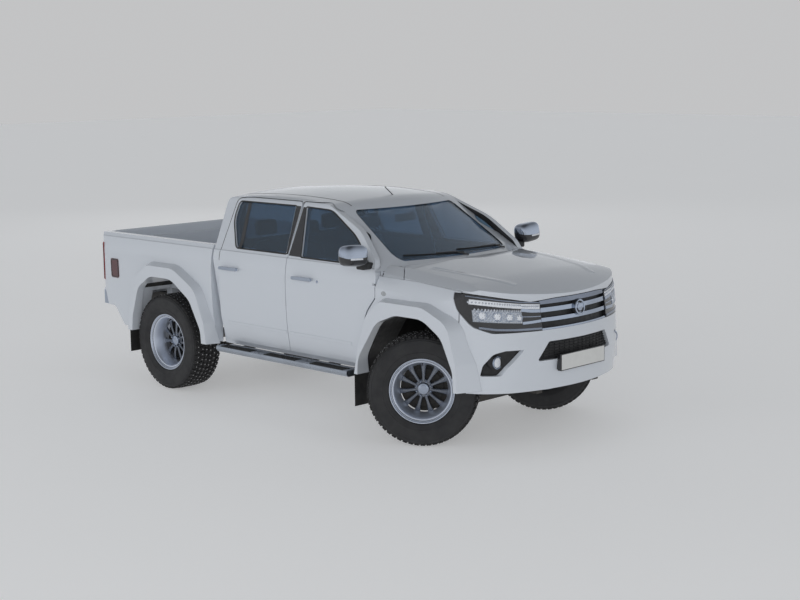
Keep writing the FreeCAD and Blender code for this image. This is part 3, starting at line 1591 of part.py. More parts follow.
def add_chassis():
    """Ladder frame: rails, crossmembers, suspension towers, hangers and the bumper beam."""
    outer, width = mm("rail_y"), mm("rail_width")
    low = mm("rail_top_z") - mm("rail_depth")
    kicked = mm("rail_top_z") + mm("rail_kick")
    rail = formed("Rail", prism_xz(rail_outline(), -outer, width - outer))
    x = dim("front_axle_x")
    rail_y, rail_in = dim("rail_y"), dim("rail_y") - dim("rail_width")
    rail_low = dim("rail_top_z") - dim("rail_depth")
    rail_high = dim("rail_top_z") + dim("rail_kick")
    tower_top = dim("tower_z")
    axle = dim("front_axle_x") - dim("wheelbase")
    spring_y, spring_half = dim("spring_y"), dim("spring_width") / 2
    right = [
        rail,
        box("CradleRiser", (x - 70, x + 110), (-rail_y, -rail_in), (dim("cradle_z") + 50, rail_low + 5)),
        box("TowerWall", (x - 118, x + 118), (-rail_y, -rail_y + 30), (dim("rail_top_z") - 5, tower_top + 22)),
        box("TowerShelf", (x - 60, x + 60), (-dim("strut_y") - 46, -rail_y + 5), (tower_top, tower_top + 22)),
        box("SpringEye", (axle + 650, axle + 706), (-spring_y - spring_half, -rail_y + 5), (490, 568)),
        box("Shackle", (axle - 706, axle - 650), (-spring_y - spring_half, -rail_y + 5), (550, 700)),
        bar("MountFront", "z", (950, -rail_y + 35, dim("rail_top_z") - 5), dim("floor_z") - dim("rail_top_z") + 5, 34),
        bar("MountRear", "z", (-600, -rail_y + 35, dim("rail_top_z") - 5), dim("floor_z") - dim("rail_top_z") + 5, 34),
        box("GearboxArm", (640, 720), (-rail_y + 5, -280), (dim("gearbox_sling_z"), rail_low + 30)),
    ]
    across = [
        box("Cradle", (x - 130, x + 130), (-rail_y, rail_y), (dim("cradle_z"), dim("cradle_z") + 55)),
        box("GearboxSling", (640, 720), (-300, 300), (dim("gearbox_sling_z"), dim("gearbox_sling_z") + 36)),
        box("MiddleTie", (-1180, -1110), (-rail_in - 5, rail_in + 5), (rail_high - 90, rail_high - 10)),
        box("RearTie", (-2480, -2404), (-rail_in - 5, rail_in + 5), (rail_high - 110, rail_high - 10)),
        box("RadiatorTie", (2170, 2250), (-rail_in - 5, rail_in + 5), (rail_low + 30, dim("rail_top_z"))),
    ]
    band = mm("bumper_thickness")
    beam = nose_volume(band).cut(nose_volume(band + 50)).common(block((2300, 2700), (-600, 600), (low + 60, low + 150)))
    across.append(formed("BumperBeam", beam))
    left = [twin(item.Name + "_left", item) for item in right]
    subpart("chassis_frame", union("Chassis", right + left + across))
    return kicked


def add_front_suspension():
    """Lower arms, upper arms on their bushes, and coil struts."""
    x, outer = mm("front_axle_x"), mm("rail_y")
    king = mm("kingpin_y")
    low, thick = mm("lower_arm_z"), mm("lower_arm_thickness")
    upper = mm("upper_arm_z")
    pin = mm("king_pin_radius")
    drop = mm("ball_joint_drop")
    axle = mm("axle_height")
    plan = [
        (x - 50, -king + 152), (x - 26, -king - 4, 20), (x + 26, -king - 4, 20), (x + 50, -king + 152),
        (x + 130, -outer), (x + 90, -outer), (x + 34, -king + 190, 20), (x - 34, -king + 190, 20), (x - 90, -outer),
        (x - 130, -outer),
    ]
    arm = prism_xy(plan, low, low + thick)
    pad_seat = prism_xy([(x - 60, -king + 130), (x + 60, -king + 130), (x + 84, -460), (x - 84, -460)], low, low + thick)
    stud = rod((x, -king, low + 4), (x, -king, axle - drop + 18), pin)
    strut_y = mm("strut_y")
    strut = rod((x, -strut_y, low + thick - 2), (x, -strut_y, mm("tower_z")), mm("strut_radius"))
    bush = rod((x - 112, -outer - 20, upper), (x + 112, -outer - 20, upper), 20)
    legs = [rod((x + side * 96, -outer - 20, upper), (x + side * 6, -king + 12, upper), 12) for side in (-1, 1)]
    boss = rod((x, -king, upper - 12), (x, -king, upper + 12), 22)
    top_stud = rod((x, -king, axle + drop - 20), (x, -king, upper), pin)
    half = fused([arm, pad_seat, stud, strut, bush] + legs + [boss, top_stud])
    subpart("front_suspension", formed("FrontSuspension", both(half)))


def add_rear_axle():
    """Live rear axle on leaf springs, with dampers."""
    x = dim("front_axle_x") - dim("wheelbase")
    z = dim("axle_height")
    gap = dim("joint_clearance")
    flange = dim("wheel_plane_y") - dim("brake_offset") - dim("drum_depth") - 4 - gap
    spindle = dim("wheel_plane_y") + dim("spindle_depth") - 2
    y = dim("spring_y")
    half = dim("spring_width") / 2
    arch = mm("front_axle_x") - mm("wheelbase")
    seat = mm("axle_height") - mm("axle_radius")
    leaf_thick = mm("spring_thickness")
    ends = 650
    lower = Part.Arc(Vector(arch - ends, 0, 560), Vector(arch, 0, seat - leaf_thick + 1), Vector(arch + ends, 0, 505))
    upper = Part.Arc(Vector(arch + ends, 0, 545), Vector(arch, 0, seat + 1), Vector(arch - ends, 0, 600))
    wire = Part.Wire([
        lower.toShape(), Part.makeLine(Vector(arch + ends, 0, 505), Vector(arch + ends, 0, 545)),
        upper.toShape(), Part.makeLine(Vector(arch - ends, 0, 600), Vector(arch - ends, 0, 560)),
    ])
    width = mm("spring_width")
    leaf = Part.Face(wire).extrude(Vector(0, width, 0))
    leaf.translate(Vector(0, -mm("spring_y") - width / 2, 0))
    spring = formed("Spring", leaf)
    clamp = box("SpringClamp", (x - 50, x + 50), (-y - half - 8, -y + half + 8), (z - 100, z + 52))
    damper = formed("Damper", rod((arch - 30, -448, mm("axle_height")), (arch - 210, -448, 712), 25))
    eye = bar("DamperEye", "y", (x - 205, -450, 700), 450 - dim("rail_y"), 12)
    pieces = [spring, clamp, damper, eye]
    left = [twin(item.Name + "_left", item) for item in pieces]
    middle = [
        bar("AxleTube", "y", (x, -flange, z), flange * 2, dim("axle_radius")),
        bar("Spindles", "y", (x, -spindle, z), spindle * 2, dim("spindle_radius")),
        ball("Differential", (x, 0, z), 138),
        bar("Pinion", "x", (x + 60, 0, z), 150, 62),
    ]
    subpart("rear_axle", union("RearAxle", middle + pieces + left))


def add_driveline():
    """Engine block, gearbox and shafts, exhaust, fuel tank and radiator."""
    z = dim("axle_height")
    axle = dim("front_axle_x") - dim("wheelbase")
    engine = union("EngineUnit", [
        box("EngineBlock", (1250, 1900), (-260, 260), (560, 1120)),
        box("EngineMounts", (1384, 1470), (-380, 380), (dim("rail_top_z"), dim("rail_top_z") + 45)),
    ])
    subpart("engine", engine)
    gearbox = union("DrivelineUnit", [
        bar("BellHousing", "x", (1050, 0, 640), 200, 168),
        bar("Gearbox", "x", (560, 0, dim("gearbox_z")), 500, dim("gearbox_radius")),
        bar("PropShaft", "x", (axle + 210, 0, z), 360 - axle, 36),
        box("GearboxFoot", (640, 720), (-80, 80), (dim("gearbox_sling_z") + 36, dim("gearbox_z") - 60)),
    ])
    subpart("drivetrain", gearbox)
    y = -225
    runs = [(1250, y, 640), (1120, y, 500), (540, y, 500), (-80, y, 500), (-1000, y, 545), (-2560, y, 545)]
    pieces = []
    for start, end in zip(runs, runs[1:]):
        silencer = start[0] == 540
        pieces.append(rod(start, end, 78 if silencer else 27))
    for point in runs[1:-1]:
        pieces.append(Part.makeSphere(27.4, Vector(*point)))
    pipe = fused(pieces)
    pipe = pipe.cut(block((1250, 1400), (-500, 500), (400, 800)))
    hanger = block((-2450, -2430), (y - 10, y + 10), (560, mm("rail_top_z") + mm("rail_kick") - 110))
    subpart("exhaust", formed("Exhaust", fused([pipe, hanger])))
    tank = prism_yz([(385, 440, 20), (385, 585, 20), (640, 585, 30), (660, 480, 60), (560, 398, 60), (440, 398, 40)], -420, 480)
    subpart("fuel_tank", formed("FuelTank", tank))
    subpart("radiator", box("Radiator", (2176, 2236), (-370, 370), (dim("rail_top_z"), 1080)))


def steering_wheel_body():
    """Steering wheel: rim, hub with its shaft, and three spokes."""
    body = DOC.addObject("PartDesign::Body", "SteeringWheel")
    rim, grip = dim("wheel_rim_radius"), dim("wheel_grip_radius")
    ring = [
        (rim - grip, -0.4 * grip), (rim - 0.4 * grip, -grip), (rim + 0.4 * grip, -grip), (rim + grip, -0.4 * grip),
        (rim + grip, 0.4 * grip), (rim + 0.4 * grip, grip), (rim - 0.4 * grip, grip), (rim - grip, 0.4 * grip),
    ]
    ring_sketch = sketch_on(body, "GripSection", "XZ_Plane", ring)
    spin(body, "Grip", ring_sketch, "V_Axis")
    hub = [(0, -110), (dim("column_radius"), -110), (dim("column_radius"), -50), (56, -50), (66, -10), (0, 6)]
    hub_sketch = sketch_on(body, "HubSection", "XZ_Plane", hub)
    spin(body, "Hub", hub_sketch, "V_Axis")
    across = sketch_on(body, "CrossSpokes", "XY_Plane", [(-26, -rim), (26, -rim), (26, rim), (-26, rim)])
    bind(across, "AttachmentOffset.Base.z", -24)
    pad(body, "CrossSpokeBar", across, 14)
    down = sketch_on(body, "LowerSpoke", "XY_Plane", [(0, -18), (rim, -18), (rim, 18), (0, 18)])
    bind(down, "AttachmentOffset.Base.z", -24)
    pad(body, "LowerSpokeBar", down, 14)
    return body


def add_steering_wheel():
    """Steering wheel on its raked column."""
    item = subpart("steering_wheel", steering_wheel_body())
    turn = Rotation(Vector(0, 0, 1), column_axis())
    item.Placement = Placement(hub_point(0), turn)


def add_body():
    """Panels, doors, glass, lamps, bed, trim and cabin, each formed on the body's surfaces."""
    shapes = {
        "cab_shell": cab_shell_shape(),
        "cab_glass": cab_glass_shape(),
        "cowl": cowl_shape(),
        "front_wings": wings_shape(),
        "bonnet": bonnet_shape(),
        "front_bumper": bumper_shape(),
        "grille": grille_shape(),
        "front_lamps": front_lamps_shape(),
        "arch_liners": liners_shape(),
        "arch_flares": flares_shape(),
        "bed": bed_shape(),
        "tailgate": tailgate_shape(),
        "rear_bumper": rear_bumper_shape(),
        "tail_lamps": tail_lamps_shape(),
        "mud_flaps": mud_flaps_shape(),
        "side_steps": side_step_shape(),
        "antenna": antenna_shape(),
        "front_seats": front_seats_shape(),
        "rear_seat": rear_seat_shape(),
        "dashboard": dashboard_shape(),
    }
    for side, label in ((-1, "right"), (1, "left")):
        for place, window in (("front", front_window_outline()), ("rear", rear_window_outline())):
            shapes[f"door_{place}_{label}"] = door_panel(place, side)
            shapes[f"glass_{place}_{label}"] = door_glass(window, side)
        shapes[f"mirror_{label}"] = mirror_shape(side)
    for label, shape in shapes.items():
        subpart(label, formed("Body_" + label, shape))


def export():
    """Check every object of the document, then write each sub-part to its own file."""
    DOC.recompute()
    for item in DOC.Objects:
        if "Invalid" in item.State or "Error" in item.State:
            raise RuntimeError(f"{item.Name} failed: {item.State}")
    for label, item in NODES.items():
        if item.Shape.isNull() or not item.Shape.isValid():
            raise RuntimeError(f"{label} has no valid shape")
    os.makedirs("parts", exist_ok=True)
    for label, item in NODES.items():
        item.Shape.exportStep(f"parts/{label}.step")
        print(label, len(item.Shape.Solids), round(item.Shape.Volume / 1e6, 2))


def main():
    """Build every sub-part and write the files."""
    add_wheels()
    add_knuckles()
    add_tie_rod()
    add_chassis()
    add_front_suspension()
    add_rear_axle()
    add_driveline()
    add_steering_wheel()
    add_body()
    export()


main()
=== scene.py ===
"""Looks of a double-cab pickup truck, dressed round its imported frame.

Every length is in metres in the truck's own frame: +X forward, +Y left, +Z up.
"""

from __future__ import annotations

import json
import logging
import math
from dataclasses import dataclass, field
from enum import Enum
from typing import Callable, Iterable, Sequence

import bmesh
import bpy
from mathutils import Matrix, Vector
from mathutils.bvhtree import BVHTree

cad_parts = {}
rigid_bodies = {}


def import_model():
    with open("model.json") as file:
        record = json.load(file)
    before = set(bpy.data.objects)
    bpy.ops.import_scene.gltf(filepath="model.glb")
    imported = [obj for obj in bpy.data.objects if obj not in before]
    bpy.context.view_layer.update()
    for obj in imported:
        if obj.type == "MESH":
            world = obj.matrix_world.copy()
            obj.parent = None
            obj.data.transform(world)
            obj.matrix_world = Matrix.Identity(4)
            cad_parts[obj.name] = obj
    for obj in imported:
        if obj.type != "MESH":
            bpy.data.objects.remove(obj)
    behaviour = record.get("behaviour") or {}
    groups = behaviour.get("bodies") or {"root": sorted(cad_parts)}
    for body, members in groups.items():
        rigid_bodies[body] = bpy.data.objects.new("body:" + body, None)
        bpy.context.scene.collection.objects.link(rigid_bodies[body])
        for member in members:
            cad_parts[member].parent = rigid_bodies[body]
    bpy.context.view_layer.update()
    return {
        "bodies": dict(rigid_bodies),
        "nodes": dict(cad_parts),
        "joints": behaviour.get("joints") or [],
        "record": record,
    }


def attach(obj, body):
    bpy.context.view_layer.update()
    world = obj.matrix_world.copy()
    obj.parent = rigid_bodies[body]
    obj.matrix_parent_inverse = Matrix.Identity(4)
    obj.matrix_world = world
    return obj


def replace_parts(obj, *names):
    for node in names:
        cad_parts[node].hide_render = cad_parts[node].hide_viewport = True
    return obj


LOG = logging.getLogger("pickup")
SMOOTH_ANGLE = math.radians(33)
WELD_DISTANCE = 0.00005
MERGE_DISTANCE = 1e-6
PATCH_SINK = 0.001
LONGEST_REACH = 0.49
FULL_TURN = 2 * math.pi
SIDES = (("right", -1.0), ("left", 1.0))

FRONT_STEER = math.radians(36)
FRONT_AXLE_X = 1.630
REAR_AXLE_X = -1.455
AXLE_HEIGHT = 0.440
PIVOT_Y = 0.735
PIVOT_TO_WHEEL = 0.066
REAR_WHEEL_Y = 0.801

BMesh = bmesh.types.BMesh
Pair = tuple[float, float]
Point = tuple[float, float, float]
Corner = tuple[float, ...]
Hit = tuple[Vector, Vector]
Find = Callable[[float, float], "Hit | None"]
Nodes = dict[str, bpy.types.Object]
Tree = bpy.types.NodeTree
Socket = bpy.types.NodeSocket


# Finishes

class Grain(Enum):
    """Fine relief of a finish."""

    NONE = "none"
    PEEL = "peel"
    MOULDED = "moulded"
    CAST = "cast"
    BRUSHED = "brushed"
    WOVEN = "woven"
    RUBBER = "rubber"


COAT_ROUGHNESS = 0.04
COLOUR_STOPS = (0.36, 0.68)
NOISE_SPAN = (0.3, 0.7)
WEAR_SHARE = 0.4
RELIEF_SHARE = 0.25
BRUSH_STRETCH = 30.0
THREAD_SHARE = 0.3
THREAD_WANDER = 0.6
GRAIN_DETAIL = {Grain.PEEL: 1.0, Grain.CAST: 6.0, Grain.RUBBER: 4.0}


@dataclass(frozen=True)
class Finish:
    """One surface finish: its colours, gloss and fine relief, made by noise alone.

    Attributes:
        name: Plain name of the finish.
        colour: Main colour, linear.
        second: Colour that it drifts to in patches.
        patch: Size of the patches.
        metallic: How far it is bare metal.
        roughness: Mean roughness.
        spread: How far the roughness drifts either way.
        coat: Weight of a clear coat.
        transmission: How far light goes through.
        grain: Kind of fine relief.
        grain_size: Size of one grain.
        bump: Strength of the relief.
        edge: Radius that the shading rounds edges by.
        sheen: Weight of soft cloth sheen.
        glow: Strength of light that it gives.
        ior: Index of refraction.
    """

    name: str
    colour: Point
    second: Point
    patch: float = 0.35
    metallic: float = 0.0
    roughness: float = 0.5
    spread: float = 0.05
    coat: float = 0.0
    transmission: float = 0.0
    grain: Grain = Grain.NONE
    grain_size: float = 0.002
    bump: float = 0.1
    edge: float = 0.0
    sheen: float = 0.0
    glow: float = 0.0
    ior: float = 1.5

    def material(self) -> bpy.types.Material:
        """Builds the finish's material, or gives the one already made.

        Returns:
            The material.
        """
        known = bpy.data.materials.get(self.name)
        if known:
            return known
        made = bpy.data.materials.new(self.name)
        made.use_nodes = True
        made.use_backface_culling = False
        tree = made.node_tree
        shader = tree.nodes["Principled BSDF"]
        place = tree.nodes.new("ShaderNodeTexCoord")
        self._colour(tree, shader, place.outputs["Object"])
        self._roughness(tree, shader, place.outputs["Object"])
        self._relief(tree, shader, place.outputs["Object"])
        shader.inputs["Metallic"].default_value = self.metallic
        shader.inputs["IOR"].default_value = self.ior
        shader.inputs["Coat Weight"].default_value = self.coat
        shader.inputs["Coat Roughness"].default_value = COAT_ROUGHNESS
        shader.inputs["Transmission Weight"].default_value = self.transmission
        shader.inputs["Sheen Weight"].default_value = self.sheen
        if self.glow:
            shader.inputs["Emission Color"].default_value = (*self.colour, 1)
            shader.inputs["Emission Strength"].default_value = self.glow
        return made

    def _noise(self, tree: Tree, place: Socket, size: float, detail: float = 3.0) -> Socket:
        """Noise of one feature size. Returns its value socket."""
        noise = tree.nodes.new("ShaderNodeTexNoise")
        noise.inputs["Scale"].default_value = 1.0 / size
        noise.inputs["Detail"].default_value = detail
        tree.links.new(place, noise.inputs["Vector"])
        return noise.outputs["Fac"]

    def _colour(self, tree: Tree, shader: bpy.types.Node, place: Socket) -> None:
        """Drifts the base colour between the finish's two colours."""
        ramp = tree.nodes.new("ShaderNodeValToRGB")
        stops = zip(ramp.color_ramp.elements, COLOUR_STOPS, (self.colour, self.second))
        for element, position, colour in stops:
            element.position = position
            element.color = (*colour, 1)
        tree.links.new(self._noise(tree, place, self.patch), ramp.inputs["Fac"])
        tree.links.new(ramp.outputs["Color"], shader.inputs["Base Color"])

    def _roughness(self, tree: Tree, shader: bpy.types.Node, place: Socket) -> None:
        """Drifts the roughness round its mean."""
        span = tree.nodes.new("ShaderNodeMapRange")
        span.inputs["From Min"].default_value = NOISE_SPAN[0]
        span.inputs["From Max"].default_value = NOISE_SPAN[1]
        span.inputs["To Min"].default_value = max(0.0, self.roughness - self.spread)
        span.inputs["To Max"].default_value = min(1.0, self.roughness + self.spread)
        tree.links.new(self._noise(tree, place, self.patch * WEAR_SHARE, 5.0), span.inputs["Value"])
        tree.links.new(span.outputs["Result"], shader.inputs["Roughness"])

    def _relief(self, tree: Tree, shader: bpy.types.Node, place: Socket) -> None:
        """Adds fine relief and softly rounded edges to the shading."""
        normal = None
        if self.edge:
            rounded = tree.nodes.new("ShaderNodeBevel")
            rounded.samples = 4
            rounded.inputs["Radius"].default_value = self.edge
            normal = rounded.outputs["Normal"]
        if self.grain is not Grain.NONE:
            bump = tree.nodes.new("ShaderNodeBump")
            bump.inputs["Strength"].default_value = self.bump
            bump.inputs["Distance"].default_value = self.grain_size * RELIEF_SHARE
            tree.links.new(self._grain(tree, place), bump.inputs["Height"])
            if normal:
                tree.links.new(normal, bump.inputs["Normal"])
            normal = bump.outputs["Normal"]
        if normal:
            tree.links.new(normal, shader.inputs["Normal"])

    def _grain(self, tree: Tree, place: Socket) -> Socket:
        """Height field of the finish's grain. Returns its socket."""
        if self.grain is Grain.MOULDED:
            cells = tree.nodes.new("ShaderNodeTexVoronoi")
            cells.inputs["Scale"].default_value = 1.0 / self.grain_size
            tree.links.new(place, cells.inputs["Vector"])
            return cells.outputs["Distance"]
        if self.grain is Grain.BRUSHED:
            turn = tree.nodes.new("ShaderNodeMapping")
            turn.inputs["Scale"].default_value = (1.0, BRUSH_STRETCH, BRUSH_STRETCH)
            tree.links.new(place, turn.inputs["Vector"])
            return self._noise(tree, turn.outputs["Vector"], self.grain_size * BRUSH_STRETCH, 2.0)
        if self.grain is Grain.WOVEN:
            total = None
            for axis in ("X", "Y", "Z"):
                wave = tree.nodes.new("ShaderNodeTexWave")
                wave.bands_direction = axis
                wave.inputs["Scale"].default_value = THREAD_SHARE / self.grain_size
                wave.inputs["Distortion"].default_value = THREAD_WANDER
                tree.links.new(place, wave.inputs["Vector"])
                if total is None:
                    total = wave.outputs["Fac"]
                    continue
                both = tree.nodes.new("ShaderNodeMath")
                both.operation = "MULTIPLY"
                tree.links.new(total, both.inputs[0])
                tree.links.new(wave.outputs["Fac"], both.inputs[1])
                total = both.outputs["Value"]
            return total
        return self._noise(tree, place, self.grain_size, GRAIN_DETAIL[self.grain])


PAINT = Finish(
    "white_body_paint", (0.675, 0.712, 0.765), (0.665, 0.702, 0.757), patch=2.2,
    roughness=0.34, spread=0.015, coat=1.0, grain=Grain.PEEL, grain_size=0.006, bump=0.008, edge=0.003,
)
BLACK_GLOSS = Finish(
    "black_gloss_trim", (0.012, 0.012, 0.014), (0.02, 0.02, 0.023), patch=0.2,
    roughness=0.16, coat=0.6, grain=Grain.PEEL, grain_size=0.005, bump=0.02, edge=0.001,
)
BLACK_PLASTIC = Finish(
    "black_moulded_plastic", (0.016, 0.016, 0.017), (0.03, 0.03, 0.031), patch=0.08,
    roughness=0.55, spread=0.1, grain=Grain.MOULDED, grain_size=0.0012, bump=0.25, edge=0.001,
)
CABIN_PLASTIC = Finish(
    "cabin_grained_plastic", (0.03, 0.03, 0.033), (0.045, 0.045, 0.047), patch=0.12,
    roughness=0.6, spread=0.08, grain=Grain.MOULDED, grain_size=0.0016, bump=0.3, edge=0.002,
)
HEADLINER = Finish(
    "headliner_felt", (0.42, 0.41, 0.39), (0.38, 0.37, 0.35), patch=0.05,
    roughness=0.95, spread=0.03, grain=Grain.RUBBER, grain_size=0.0015, bump=0.3, sheen=0.3,
)
CARPET = Finish(
    "floor_carpet", (0.035, 0.034, 0.034), (0.06, 0.058, 0.056), patch=0.02,
    roughness=0.97, spread=0.02, grain=Grain.RUBBER, grain_size=0.003, bump=0.7, sheen=0.4,
)
UNDERSEAL = Finish(
    "underbody_seal", (0.022, 0.022, 0.022), (0.045, 0.042, 0.038), patch=0.15,
    roughness=0.8, spread=0.12, grain=Grain.CAST, grain_size=0.006, bump=0.45,
)
FRAME_PAINT = Finish(
    "chassis_black_paint", (0.018, 0.018, 0.019), (0.05, 0.042, 0.034), patch=0.18,
    roughness=0.48, spread=0.15, grain=Grain.CAST, grain_size=0.004, bump=0.25, edge=0.002,
)
CAST_METAL = Finish(
    "grey_cast_iron", (0.12, 0.12, 0.122), (0.2, 0.185, 0.17), patch=0.09,
    metallic=0.75, roughness=0.6, spread=0.14, grain=Grain.CAST, grain_size=0.004, bump=0.5, edge=0.002,
)
EXHAUST = Finish(
    "dull_exhaust_tube", (0.32, 0.3, 0.28), (0.42, 0.37, 0.31), patch=0.12,
    metallic=0.95, roughness=0.42, spread=0.14, grain=Grain.CAST, grain_size=0.01, bump=0.08,
)
RADIATOR = Finish(
    "radiator_fins", (0.13, 0.13, 0.135), (0.2, 0.2, 0.2), patch=0.05,
    metallic=0.8, roughness=0.5, grain=Grain.BRUSHED, grain_size=0.001, bump=0.6,
)
CHROME = Finish(
    "chrome_plate", (0.44, 0.49, 0.58), (0.40, 0.45, 0.54), patch=0.3,
    metallic=1.0, roughness=0.09, spread=0.03, grain=Grain.PEEL, grain_size=0.012, bump=0.01, edge=0.002,
)
DARK_CHROME = Finish(
    "dark_blue_chrome", (0.27, 0.30, 0.36), (0.22, 0.245, 0.30), patch=0.3,
    metallic=1.0, roughness=0.13, spread=0.04, grain=Grain.PEEL, grain_size=0.012, bump=0.01, edge=0.0015,
)
SATIN = Finish(
    "satin_aluminium", (0.42, 0.46, 0.52), (0.36, 0.39, 0.44), patch=0.25,
    metallic=1.0, roughness=0.3, spread=0.06, grain=Grain.BRUSHED, grain_size=0.0006, bump=0.12,
    edge=0.002,
)
SPOKE = Finish(
    "grey_spoke_alloy", (0.22, 0.235, 0.265), (0.17, 0.185, 0.215), patch=0.12,
    metallic=1.0, roughness=0.30, spread=0.06, grain=Grain.PEEL, grain_size=0.004, bump=0.04, edge=0.002,
)
ALLOY = Finish(
    "silver_alloy", (0.68, 0.73, 0.83), (0.60, 0.65, 0.75), patch=0.18,
    metallic=0.8, roughness=0.34, spread=0.05, grain=Grain.PEEL, grain_size=0.004, bump=0.03, edge=0.002,
)
STEEL = Finish(
    "bright_steel", (0.62, 0.62, 0.63), (0.5, 0.5, 0.51), patch=0.03,
    metallic=1.0, roughness=0.3, spread=0.08, grain=Grain.BRUSHED, grain_size=0.001, bump=0.1,
)
SIDEWALL = Finish(
    "tyre_sidewall", (0.021, 0.021, 0.023), (0.031, 0.031, 0.032), patch=0.11,
    roughness=0.62, spread=0.07, grain=Grain.RUBBER, grain_size=0.0015, bump=0.2,
)
TREAD = Finish(
    "tyre_tread", (0.017, 0.017, 0.018), (0.036, 0.035, 0.035), patch=0.04,
    roughness=0.78, spread=0.1, grain=Grain.RUBBER, grain_size=0.0025, bump=0.4,
)
FLAP = Finish(
    "black_flap_rubber", (0.014, 0.014, 0.015), (0.028, 0.027, 0.026), patch=0.1,
    roughness=0.7, spread=0.1, grain=Grain.RUBBER, grain_size=0.003, bump=0.3,
)
SEAT_CLOTH = Finish(
    "woven_seat_cloth", (0.10, 0.098, 0.095), (0.145, 0.14, 0.135), patch=0.012,
    roughness=0.93, spread=0.04, grain=Grain.WOVEN, grain_size=0.0022, bump=0.6, sheen=0.5,
)
SEAT_SIDE = Finish(
    "seat_side_cloth", (0.035, 0.035, 0.037), (0.05, 0.05, 0.052), patch=0.02,
    roughness=0.9, spread=0.04, grain=Grain.WOVEN, grain_size=0.0018, bump=0.5, sheen=0.4,
)
GREY_LENS = Finish(
    "grey_side_lens", (0.42, 0.44, 0.46), (0.36, 0.38, 0.40), patch=0.02,
    roughness=0.18, coat=1.0, grain=Grain.MOULDED, grain_size=0.003, bump=0.2,
)
SCREEN_GLASS = Finish(
    "windscreen_glass", (0.40, 0.52, 0.66), (0.38, 0.50, 0.64), patch=0.8,
    roughness=0.0, spread=0.0, transmission=0.88, coat=1.0, ior=1.02,
)
SIDE_GLASS = Finish(
    "tinted_side_glass", (0.13, 0.21, 0.30), (0.11, 0.18, 0.26), patch=0.8,
    roughness=0.0, spread=0.0, transmission=0.84, coat=1.0, ior=1.02,
)
RED_LENS = Finish(
    "red_lamp_lens", (0.36, 0.008, 0.012), (0.30, 0.006, 0.010), patch=0.05,
    roughness=0.12, spread=0.02, coat=1.0, grain=Grain.MOULDED, grain_size=0.004, bump=0.15,
)
DARK_LENS = Finish(
    "dark_red_reflector", (0.09, 0.006, 0.012), (0.06, 0.004, 0.009), patch=0.03,
    roughness=0.15, coat=1.0, grain=Grain.MOULDED, grain_size=0.003, bump=0.2,
)
LIGHT_GUIDE = Finish(
    "lamp_light_guide", (0.86, 0.88, 0.92), (0.75, 0.78, 0.83), patch=0.02,
    roughness=0.2, coat=0.6, grain=Grain.MOULDED, grain_size=0.004, bump=0.2,
)
CUT_GLASS = Finish(
    "cut_lamp_glass", (0.93, 0.95, 0.99), (0.52, 0.57, 0.66), patch=0.012,
    metallic=0.6, roughness=0.07, spread=0.04, grain=Grain.PEEL, grain_size=0.004, bump=0.02,
)
MIRROR_GLASS = Finish(
    "mirror_glass", (0.86, 0.87, 0.88), (0.84, 0.85, 0.86), patch=0.2,
    metallic=1.0, roughness=0.03, spread=0.01,
)
PLATE = Finish(
    "blank_plate", (0.74, 0.74, 0.72), (0.70, 0.70, 0.68), patch=0.06,
    roughness=0.42, coat=0.3, grain=Grain.PEEL, grain_size=0.003, bump=0.04,
)
DISPLAY = Finish(
    "dash_display", (0.010, 0.012, 0.016), (0.014, 0.017, 0.022), patch=0.05,
    roughness=0.1, coat=1.0,
)


# Mesh tools

def all_of(bm: BMesh) -> list:
    """Every vertex, edge and face of a mesh."""
    return list(bm.verts) + list(bm.edges) + list(bm.faces)


def turned_to(axis: Vector) -> Matrix:
    """Turn that brings the Z axis to a direction."""
    return axis.to_track_quat("Z", "Y").to_matrix().to_4x4()


def bevel_edges(bm: BMesh, edges: Sequence[bmesh.types.BMEdge], width: float, segments: int) -> None:
    """Bevels edges of a mesh."""
    bmesh.ops.bevel(bm, geom=edges, offset=width, offset_type="OFFSET", segments=segments, profile=0.5,
                    affect="EDGES", material=-1, clamp_overlap=True)


def repeat_round(bm: BMesh, count: int) -> None:
    """Copies what a mesh holds about its Z axis until it stands there a number of times."""
    bmesh.ops.spin(bm, geom=all_of(bm), cent=(0, 0, 0), axis=(0, 0, 1), angle=FULL_TURN * (count - 1) / count,
                   steps=count - 1, use_duplicate=True)


def add_box(bm: BMesh, low: Sequence[float], high: Sequence[float], bevel: float, segments: int = 2) -> None:
    """Adds a box with bevelled edges.

    Args:
        bm: Mesh to add to.
        low: Lowest corner.
        high: Highest corner.
        bevel: Width of the bevel.
        segments: Segments of the bevel.
    """
    low, high = Vector(low), Vector(high)
    size = Matrix.Diagonal((*(high - low), 1.0))
    made = bmesh.ops.create_cube(bm, size=1.0, matrix=Matrix.Translation((low + high) / 2) @ size)
    edges = list({edge for vert in made["verts"] for edge in vert.link_edges})
    bevel_edges(bm, edges, bevel, segments)


